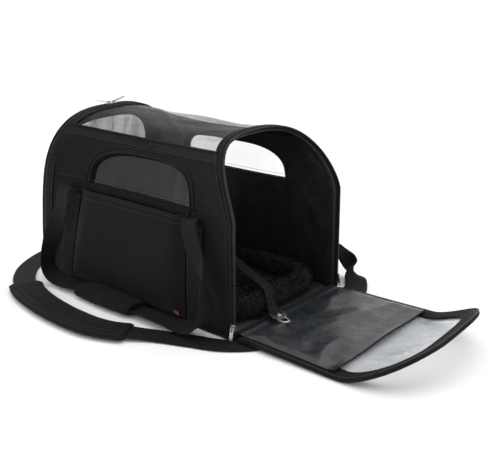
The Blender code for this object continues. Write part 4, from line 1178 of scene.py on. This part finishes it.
def make_door_cloth(end, place, outside, inside, away, seed):
    """The padded frame: a closed row of sections that puff between their two edges."""
    outer = door_outline(DOOR_INSET, DOOR_FOOT)
    inner = door_outline(DOOR_FRAME, DOOR_FOOT + DOOR_FRAME)
    rings = []
    for (y0, z0), (y1, z1) in zip(outer, inner):
        ring = []
        for face, way, order in ((outside, away, 1), (inside, -away, -1)):
            for share in evenly(0.0, 1.0, 9)[::order]:
                y, z = y0 + (y1 - y0) * share, z0 + (z1 - z0) * share
                puff = 0.0010 * math.sin(math.pi * clamp(share, 0.02, 0.98)) ** 0.6
                puff += 0.0005 * creased(y * 14, z * 14, seed + way, 0.4, 2.0) * math.sin(math.pi * share)
                edge = 0.0016 * (1 - smooth_step(0.0, 0.06, share) * smooth_step(0.0, 0.06, 1 - share))
                ring.append(place(y, z, face + way * (puff - edge)))
        rings.append(ring)
    band = lofted(end + "_door_frame_cloth", rings, NYLON, closed=True)
    settle(band, end + "_door", "nylon", end + "_door_panel")


def make_door_film(end, place, middle, away, seed):
    def spot(row, a, extra):
        half, z = row
        y = half * a
        slack = math.sin(math.pi * clamp((a + 1) / 2)) * math.sin(math.pi * clamp((z - 0.028) / 0.24))
        wave = 0.0016 * creased(y * 15, z * 12, seed + 2, 0.9, 3.0)
        wave += 0.0012 * creased(y * 26, z * 22, seed + 5, -0.5, 2.5)
        return place(y, z, middle - away * (wave * clamp(slack * 3) + extra))

    rows = door_rows(DOOR_FRAME - 0.0040, DOOR_FOOT + DOOR_FRAME - 0.0040)
    film = two_skins(end + "_door_film", *layers(rows, evenly(-1.0, 1.0, 60), spot, (0.0, 0.0007)), DOOR_FILM)
    settle(film, end + "_door", "film", end + "_door_window")


def make_door_zip(end, place, depth, away):
    """The door's half of the zip: a tape along its edge, and teeth."""
    stations = outline_stations(240, DOOR_FOOT + 0.006)

    def spot(station, inset, extra):
        y, z, ny, nz = station
        return place(y + inset * ny, z + inset * nz, depth + away * extra)

    skins = layers(stations, (0.0022, 0.0045, 0.0075), spot, (0.0, 0.0008))
    settle(two_skins(end + "_door_zip_tape", *skins, TAPE), end + "_door", "zip", end + "_door_zip")
    points = [spot(station, 0.0014, -0.0002) for station in stations]
    inward = [(spot(station, 0.003, 0.0) - spot(station, 0.0, 0.0)).normalized() for station in stations]
    zip_teeth(end + "_door_zip_teeth", end + "_door", points, lambda k: inward[k], DOOR_TOOTH_LONG)


def make_flap():
    """Loose satin lining flap over the hinge half of the open door."""
    rows = [row for row in door_rows(0.0075, DOOR_FOOT + 0.0040, 260) if row[1] <= FLAP_TOP]

    def spot(row, a, extra):
        half, z = row
        y = half * a
        edge = clamp((1 - abs(a)) * 12) * clamp((z - 0.012) * 60) * (0.35 + 0.65 * clamp((FLAP_TOP - z) * 50))
        wave = 0.0030 * max(0.0, creased(y * 9, z * 11, 21.0, 0.65, 2.6))
        wave += 0.0016 * creased(y * 18, z * 20, 24.0, -0.35, 2.2)
        wave += 0.0008 * cloudy(y * 30, z * 30, 3.0, 3)
        curl_up = 0.0030 * smooth_step(FLAP_TOP - 0.012, FLAP_TOP, z) * (0.5 + 0.5 * math.sin(y * 42 + 1.0))
        lift = 0.0022 + max(0.0, wave * edge + 0.0008) + curl_up
        return front_door_place(y, z, -lift - extra)

    skins = layers(rows, evenly(-1.0, 1.0, 110), spot, (0.0, -0.0006))
    flap = two_skins("lining_flap", *skins, SATIN)
    settle(flap, "front_door", "lining", "front_door_flap")
    bead("lining_flap_hem", [point + UP * 0.0002 for point in skins[0][-1]], WELT, "front_door", wobble=0.1)


def make_hinges():
    """Cloth strips that join the doors to the base, drawn bent as they lie with the doors open."""
    def front(x, y, extra):
        dip = 0.0010 * math.cos((x - 0.2320) * 260) + 0.0005 * cloudy(x * 80, y * 30, 2.0, 2)
        return Vector((x, y, FRONT_STRIP_HEIGHT + dip - extra))

    def rear(t, y, extra):
        x = REAR_STRIP_FOOT[0] + REAR_STRIP_RISE[0] * t - extra * t
        return Vector((x, y, REAR_STRIP_FOOT[1] + REAR_STRIP_RISE[1] * t * t + extra * (1 - t)))

    skins = layers(evenly(*FRONT_STRIP, 18), evenly(-0.1225, 0.1225, 60), front, (0.0, STRIP_THICK))
    strip = two_skins("front_hinge_cloth", *skins, SATIN)
    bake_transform(strip)
    sill = [Vector((SILL[0], y, SILL[1])) for y in evenly(-0.121, 0.121, 70)]
    bead("sill_piping", sill, 0.0021, spacing=None, sides=10, wobble=0.1)
    skins = layers(evenly(0.0, 1.0, 12), evenly(-0.121, 0.121, 50), rear, (0.0, STRIP_THICK))
    strip = two_skins("rear_hinge_cloth", *skins, NYLON)
    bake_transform(strip)


# ---------------------------------------------------------------- base and bed

def rounded_rectangle(half_x, half_y, radius, per_corner=14, per_side=30):
    """Outline with round corners and evenly divided sides."""
    corners = ((1, 1), (-1, 1), (-1, -1), (1, -1))

    def on_corner(quarter, share):
        sx, sy = corners[quarter % 4]
        turn = math.pi / 2 * (quarter + share)
        return (sx * (half_x - radius) + radius * math.cos(turn),
                sy * (half_y - radius) + radius * math.sin(turn))

    outline = []
    for quarter in range(4):
        outline += [on_corner(quarter, k / (per_corner - 1)) for k in range(per_corner)]
        last, nxt = outline[-1], on_corner(quarter + 1, 0.0)
        outline += [(last[0] + (nxt[0] - last[0]) * t, last[1] + (nxt[1] - last[1]) * t)
                    for t in evenly(0.0, 1.0, per_side)[1:-1]]
    return outline


def make_plate(name, outline, levels, half_x, half_y, paint, slot, node):
    """Flat slab whose edge draws in by the second value of each level."""
    rings = [[Vector((x * (1 - draw / half_x), y * (1 - draw / half_y), z)) for x, y in outline]
             for z, draw in levels]
    settle(lofted(name, rings, paint), "shell", slot, node)


def make_base():
    """Bottom cloth, the piping round it and the stiff cabin floor."""
    outline = rounded_rectangle(LENGTH / 2 - 0.0047, WIDTH / 2 - 0.0047, 0.0173)
    levels = ((0.0, 0.0012), (0.0006, 0.0003), (0.0022, 0.0), (0.0038, 0.0003), (0.0044, 0.0012))
    make_plate("bottom_cloth", outline, levels, 0.23, 0.13, NYLON, "nylon", "base_skin")
    line = rounded_rectangle(LENGTH / 2 - 0.0022, WIDTH / 2 - 0.0022, 0.0198)
    bead("bottom_piping", [Vector((x, y, 0.0027)) for x, y in line[::3]], 0.0024, "shell", ("base_piping",),
         PIPING_STEP, True, 12, 0.07)
    outline = rounded_rectangle(LENGTH / 2 - 0.0125, WIDTH / 2 - 0.0092, 0.018)
    levels = ((0.0047, 0.0006), (0.0056, 0.0), (0.0080, 0.0), (0.0088, 0.0010))
    make_plate("cabin_floor", outline, levels, 0.21, 0.12, BOARD, "board", "base_board")


def fur(points, faces, root, out, length, width, lean):
    """One bent tuft of pile: three-sided, closed at its foot, drawn to a point."""
    across = out.orthogonal().normalized()
    other = out.cross(across)
    base = len(points)
    start = rng.random() * 6.28
    for share, size in ((0.0, 1.0), (0.55, 0.75)):
        middle = root + out * (length * share) + lean * (share * share * length)
        for k in range(3):
            turn = start + 2.0944 * k
            points.append(middle + (across * math.cos(turn) + other * math.sin(turn)) * width * size)
    points.append(root + out * length * 0.92 + lean * length)
    for k in range(3):
        nxt = (k + 1) % 3
        faces.append((base + k, base + nxt, base + 3 + nxt, base + 3 + k))
        faces.append((base + 3 + k, base + 3 + nxt, base + 6))
    faces.append((base + 2, base + 1, base))


def bolster_ring(x, y, along, swell):
    """Section of the bed's rim, flattened a little below."""
    across = along.cross(UP).normalized()
    ring = []
    for turn in turns(BOLSTER_SIDES):
        up = math.sin(turn)
        size = BOLSTER_RADIUS * (1 + swell + 0.10 * cloudy(x * 40 + math.cos(turn), y * 40, up * 1.5, 3))
        flat = 1.0 if up > -0.5 else 0.92
        ring.append(Vector((x, y, BOLSTER_HEIGHT)) + across * math.cos(turn) * size + UP * (up * size * flat))
    return ring


def crown(a, b):
    """Top of the bed's mat, for shares a and b of its half length and half width."""
    x, y = MAT_HALF[0] * a, MAT_HALF[1] * b
    edge = (1 - abs(a) ** 8) * (1 - abs(b) ** 6)
    bow = 0.0035 * math.cos(a * math.pi / 2) * math.cos(b * math.pi / 2)
    lumps = 0.0022 * cloudy(x * 35, y * 35, 7.0, 3)
    return Vector((x, y, 0.0105 + (0.0125 + bow + lumps) * max(edge, 0.0) ** 0.4))


def make_bed():
    """Plush bed: a padded rim round a padded mat."""
    rim = [Vector((x, y, BOLSTER_HEIGHT)) for x, y in rounded_rectangle(0.198, 0.099, 0.045)]
    rim = smooth_route(rim[::2], 0.006, closed=True)
    rings = [bolster_ring(p.x, p.y, t, 0.05 * cloudy(p.x * 14, p.y * 14, 1.0, 2))
             for p, t in zip(rim, directions(rim, closed=True))]
    roll = lofted("bed_roll", rings, PLUSH, closed=True)
    settle(roll, "shell", "plush", "bed_bolster")
    xs, ys = evenly(-1.0, 1.0, 90), evenly(-1.0, 1.0, 46)
    top = [[crown(a, b) for b in ys] for a in xs]
    low = [[Vector((MAT_HALF[0] * a, MAT_HALF[1] * b, MAT_FOOT)) for b in ys] for a in xs]
    mat = two_skins("bed_mat", top, low, PLUSH)
    settle(mat, "shell", "plush", "bed_cushion")
    make_pile(rim, rings)


def make_pile(rim, rings):
    """Tufts strewn over the bed's rim and mat."""
    points, faces = [], []
    for _ in range(PILE_TUFTS):
        if rng.random() < 0.62:
            k = rng.randrange(len(rings))
            turn = rng.uniform(-0.75, math.pi + 0.75)
            ring = rings[k]
            place = turn / (2 * math.pi) * BOLSTER_SIDES % BOLSTER_SIDES
            index = int(place)
            root = ring[index].lerp(ring[(index + 1) % BOLSTER_SIDES], place - index)
            root = root.lerp(rings[(k + 1) % len(rings)][index], rng.random())
            out = (root - rim[k].lerp(rim[(k + 1) % len(rings)], 0.5)).normalized()
        else:
            a, b = rng.uniform(-0.97, 0.97), rng.uniform(-0.95, 0.95)
            root = crown(a, b)
            out = UP
        clump = cloudy(root.x * 55, root.y * 55, root.z * 55, 2)
        lean = Vector((*[cloudy(root.x * 30, root.y * 30, seed, 2) for seed in (1.0, 9.0)], -0.15))
        lean += Vector((rng.uniform(-0.5, 0.5), rng.uniform(-0.5, 0.5), rng.uniform(-0.3, 0.3)))
        away = (out + Vector((rng.uniform(-0.3, 0.3), rng.uniform(-0.3, 0.3), 0))).normalized()
        length = rng.uniform(0.0045, 0.0080) * (1 + 0.35 * clump)
        fur(points, faces, root - out * 0.001, away, length, rng.uniform(0.0006, 0.0012), lean * 0.8)
    settle(mesh_object("bed_pile", points, faces, [PLUSH]), "shell", "plush")


# ---------------------------------------------------------------- shoulder strap and leash

def strap_route():
    """Middle line of the shoulder strap, from the rear snap hook to the front one."""
    return [(-0.212, 0.163, 0.066), (-0.232, 0.172, 0.033), (-0.256, 0.166, 0.0130), (-0.278, 0.142, 0.0040),
            (-0.293, 0.105, 0.0016), (-0.303, 0.050, 0.0014), (-0.302, -0.020, 0.0014),
            (-0.290, -0.085, 0.0014), (-0.262, -0.140, 0.0014), (-0.225, -0.178, 0.0024)] + pad_route() + [
            (0.130, -0.1920, 0.0024), (0.175, -0.172, 0.0014), (0.225, -0.150, 0.0014),
            (0.262, -0.110, 0.0014), (0.277, -0.050, 0.0014), (0.279, 0.010, 0.0014), (0.277, 0.055, 0.0014),
            (0.271, 0.096, 0.0014), (0.262, 0.132, 0.0014), (0.248, 0.160, 0.0028), (0.232, 0.180, 0.0105),
            (0.217, 0.190, 0.0240), (0.205, 0.186, 0.0430), (0.195, 0.1635, 0.066)]


def pad_route():
    """The stretch of the strap that runs inside its pad."""
    z = PAD_HEIGHT / 2 + 0.0006
    return [(-0.1842, -0.2034, z), (-0.140, -0.2230, z), (-0.070, -0.2370, z),
            (0.000, -0.2410, z), (0.050, -0.2350, z), (0.0935, -0.2160, z)]


def make_strap():
    """Shoulder webbing that lies flat on the ground and stands up where it climbs to its hooks."""
    points = smooth_route(strap_route(), ROUTE_STEP)
    looks = []
    for along in directions(points):
        steep = clamp((abs(along.z) - 0.30) / 0.60)
        looks.append(Vector((0.0, steep, 1 - steep)))
    strap = ribbon("shoulder_webbing", points, looks, STRAP_WIDTH, WEBBING, WEBBED, cup=0.0004, pucker=0.0002)
    settle(strap, "shell", "webbing", "strap_webbing")
    ends = [Vector(pad_route()[0]), Vector(pad_route()[-1])]
    first, last = [min(range(len(points)), key=lambda k: (points[k] - end).length) for end in ends]
    make_pad(points[first:last + 1], ends[0].z)


def make_pad(core, height):
    """Padded cloth round the strap, with a sewn channel, bound ends and piped edges."""
    rings = []
    for k, (point, along) in enumerate(zip(core, directions(core))):
        across = along.cross(UP).normalized()
        from_end = min(k / (len(core) - 1), 1 - k / (len(core) - 1))
        swell = 0.62 + 0.38 * smooth_step(0.0, 0.035, from_end)
        seam = 1 - 0.30 * math.exp(-((from_end - 0.045) / 0.006) ** 2)
        ring = []
        for turn in turns(44):
            s = math.sin(turn)
            a, b = rounded(turn, 0.62, 0.85)
            channel = 0.55 * math.exp(-((a - 0.30) / 0.07) ** 2) if s > 0 else 0.0
            thin = 0.45 * smooth_step(0.80, 0.97, abs(a))
            soft = 0.0
            if s > 0:
                soft = 0.10 * creased(k * 0.17, a * 1.6, 11.0, 1.4, 2.0)
                soft += 0.05 * cloudy(point.x * 60, a * 3, s, 2)
            high = PAD_HEIGHT / 2 * b * swell * seam * (1 - channel) * (1 - thin) * (1 + soft)
            wide = PAD_WIDTH / 2 * a * (1 - 0.03 * (1 - seam))
            wide *= 1 + 0.02 * cloudy(point.x * 40, 1.0, 1.0, 2)
            ring.append(Vector((point.x, point.y, height)) + across * wide + Vector((0, 0, high)))
        rings.append(ring)
    pad = lofted("shoulder_pad_cloth", rings, NYLON, sharp=60)
    settle(pad, "shell", "nylon", "shoulder_pad")
    for index in (5, 19, 9):
        sew("shell", [ring[index] for ring in rings[2:-2]], UP, HEAVY_STITCH_PITCH)
    for index in (0, 22):
        edge = [ring[index] + UP * 0.0002 for ring in rings[1:-1]]
        bead("pad_edge_%d" % index, edge, 0.0014, spacing=None, wobble=0.1)
    for share in (0.045, 0.955):
        sew("shell", rings[round(share * len(core))][1:22], UP, 0.0030)


def make_ring_tabs():
    """Folded tabs on the far wall that hold the strap's rings."""
    loop_at, loop_radius = 0.0059, 0.0029
    for where, middle in RING_TAB_AT.items():
        here = wall_point(1.0, middle, 0.120, WALL_INSET)
        above = wall_point(1.0, middle, 0.130, WALL_INSET)
        up = Vector((0.0, above.y - here.y, above.z - here.z)).normalized()
        out = Vector((0.0, up.z, -up.y))
        path = [here + out * 0.0017 + up * 0.030, here + out * 0.0017 + up * 0.018]
        for k in range(17):
            turn = math.radians(205 + (-95 - 205) * k / 16)
            off = loop_at + loop_radius * math.cos(turn)
            path.append(here + out * off + up * loop_radius * math.sin(turn))
        points = smooth_route(path, 0.0012)
        looks = [FORWARDS.cross(along) for along in directions(points)]
        piece = ribbon("ring_webbing_" + where, points, looks, 0.0135, 0.0015, WEBBED)
        settle(piece, "shell", "webbing", "ring_tab_" + where)


def make_leash():
    """Leash from the bed over the sill; its end hangs with the hook and turns with it."""
    fixed = [(-0.090, 0.112, 0.052), (-0.050, 0.098, 0.0500), (0.010, 0.070, 0.0480), (0.070, 0.040, 0.0480),
             (0.125, 0.012, 0.0480), (0.165, -0.0072, 0.0485), (0.1905, -0.0195, 0.0490)]
    free = [(0.1935, -0.0210, 0.0490), (0.207, -0.0285, 0.0450), (0.2165, -0.0345, 0.0350),
            (0.2245, -0.0395, 0.0260), LEASH_END]
    points = smooth_route(fixed + free, 0.003)
    looks = [UP * (1 - abs(d.z)) + FORWARDS * abs(d.z) for d in directions(points)]
    leash = ribbon("leash_strap", points, looks, LEASH_WIDTH, WEBBING, WEBBED, cup=0.0003, pucker=0.0004)
    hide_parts("leash_webbing", "leash_drop")
    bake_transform(leash)
    along = Vector((0.92, -0.39, 0.0)).normalized()
    side = UP.cross(along)
    end = Vector(LEASH_END)
    fold = ((-0.020, 0.0085), (-0.012, 0.0042), (-0.002, 0.0016), (0.0040, 0.0014), (0.0072, 0.0002),
            (0.0072, -0.0016), (0.0030, -0.0024), (-0.004, -0.0010))
    points = smooth_route([end + along * a + Vector((0, 0, rise)) for a, rise in fold], 0.0016)
    looks = [d.cross(side) * -1 for d in directions(points)]
    settle(ribbon("leash_fold", points, looks, LEASH_WIDTH - 0.0004, 0.0014, WEBBED), "leash_end", "webbing")
    for across in (-0.0055, 0.0, 0.0055):
        row = [end + along * a + side * across + Vector((0, 0, 0.0024 + max(0.0, -a - 0.004) * 0.35))
               for a in evenly(-0.016, -0.003, 6)]
        sew("leash_end", row, UP, 0.0030)


# ---------------------------------------------------------------- metal and small pieces

def dress_metal():
    """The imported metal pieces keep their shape, with rounded edges and a plated finish."""
    for name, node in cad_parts.items():
        if name.startswith(METAL):
            node.data.materials.clear()
            node.data.materials.append(NICKEL)
            rounding = node.modifiers.new("rounding", "BEVEL")
            rounding.width = 0.00035
            rounding.segments = 2
            rounding.limit_method = "ANGLE"
            rounding.angle_limit = math.radians(40)


def make_tag():
    """Small plain woven tag at the foot of the near pocket, with a round mark."""
    def spot(x, z, lift):
        return wall_point(-1.0, x, z, pocket_out(-1.0, x, z) - lift)

    def on_mark(size, turn, lift):
        return spot(TAG_AT[0] + size * 1.25 * math.cos(turn), TAG_AT[1] + size * math.sin(turn), lift)

    xs = evenly(TAG_AT[0] - TAG_HALF[0], TAG_AT[0] + TAG_HALF[0], 10)
    zs = evenly(TAG_AT[1] - TAG_HALF[1], TAG_AT[1] + TAG_HALF[1], 8)
    settle(two_skins("small_tag", *layers(xs, zs, spot, (0.0010, 0.0002)), NYLON_PIPING), "shell", "nylon")
    sizes = [0.0004 + 0.0040 * k / 6 for k in range(7)]
    skins = layers(sizes, turns(28) + [2 * math.pi], on_mark, (0.0014, 0.0008))
    settle(two_skins("small_tag_mark", *skins, PATCH), "shell", "nylon")


# ---------------------------------------------------------------- floor, light and camera

def placed(name, data):
    """New object in the scene for a light or camera."""
    made = bpy.data.objects.new(name, data)
    bpy.context.scene.collection.objects.link(made)
    return made


def make_studio():
    """White cyclorama: a large pale floor, an even sky that the camera sees as white, and soft lamps."""
    corners = [(a * FLOOR_HALF, b * FLOOR_HALF, 0) for a, b in ((-1, -1), (1, -1), (1, 1), (-1, 1))]
    pale = Paint("pale_floor", FLOOR_SHADE, 0.7, Specular_IOR_Level=0.0).material
    floor = mesh_object("floor", corners, [(0, 1, 2, 3)], [pale])
    floor.location.z = -FLOOR_BELOW
    world = bpy.data.worlds.new("studio")
    bpy.context.scene.world = world
    world.use_nodes = True
    sky = world.node_tree.nodes["Background"].inputs
    sky["Strength"].default_value = SKY_STRENGTH
    sky["Color"].default_value = (1.0, 1.0, 1.0, 1.0)
    sun = bpy.data.lights.new("overhead", "SUN")
    sun.energy = SUN_STRENGTH
    sun.angle = SUN_ANGLE
    placed("overhead", sun).rotation_euler = (math.radians(-12), math.radians(6), 0.0)
    for name, (place, aim, size) in LAMPS.items():
        light = bpy.data.lights.new(name, "AREA")
        light.size = size
        light.energy = LAMP_POWER
        lamp = placed(name, light)
        lamp.location = place
        lamp.rotation_mode = "QUATERNION"
        lamp.rotation_quaternion = (Vector(aim) - Vector(place)).to_track_quat("-Z", "Y")
    bpy.context.scene.view_settings.view_transform = "Standard"


def make_camera():
    """Camera where the photo was taken from, turned by its heading, dip and roll."""
    flat = math.cos(CAMERA_DIP)
    east, north = math.cos(CAMERA_HEADING), math.sin(CAMERA_HEADING)
    forward = Vector((flat * east, flat * north, -math.sin(CAMERA_DIP)))
    right = Vector((north, -east, 0.0))
    up = right.cross(forward)
    turned = right * math.cos(CAMERA_ROLL) + up * math.sin(CAMERA_ROLL)
    upright = up * math.cos(CAMERA_ROLL) - right * math.sin(CAMERA_ROLL)
    data = bpy.data.cameras.new("camera")
    data.sensor_width = 36.0
    data.lens = CAMERA_LENS
    camera = placed("camera", data)
    matrix = Matrix((turned, upright, -forward)).transposed().to_4x4()
    matrix.translation = Vector(CAMERA_AT)
    camera.matrix_world = matrix
    bpy.context.scene.camera = camera


make_camera()
make_base()
for side_label, side_sign in SIDES.items():
    for make in (make_wall, make_window, make_window_trim, make_top_edge, make_pocket, make_anchors,
                 make_handle, make_grip):
        make(side_label, side_sign)
make_roof()
for hoop_end, places in HOOPS.items():
    make_hoop(hoop_end, **places)
make_door("rear", rear_door_place, 0.0, DOOR_THICKNESS, 30.0)
make_door("front", front_door_place, DOOR_THICKNESS, 0.0, 40.0)
make_flap()
make_hinges()
make_bed()
make_strap()
make_ring_tabs()
make_leash()
dress_metal()
make_tag()
finish_sewing()
make_studio()
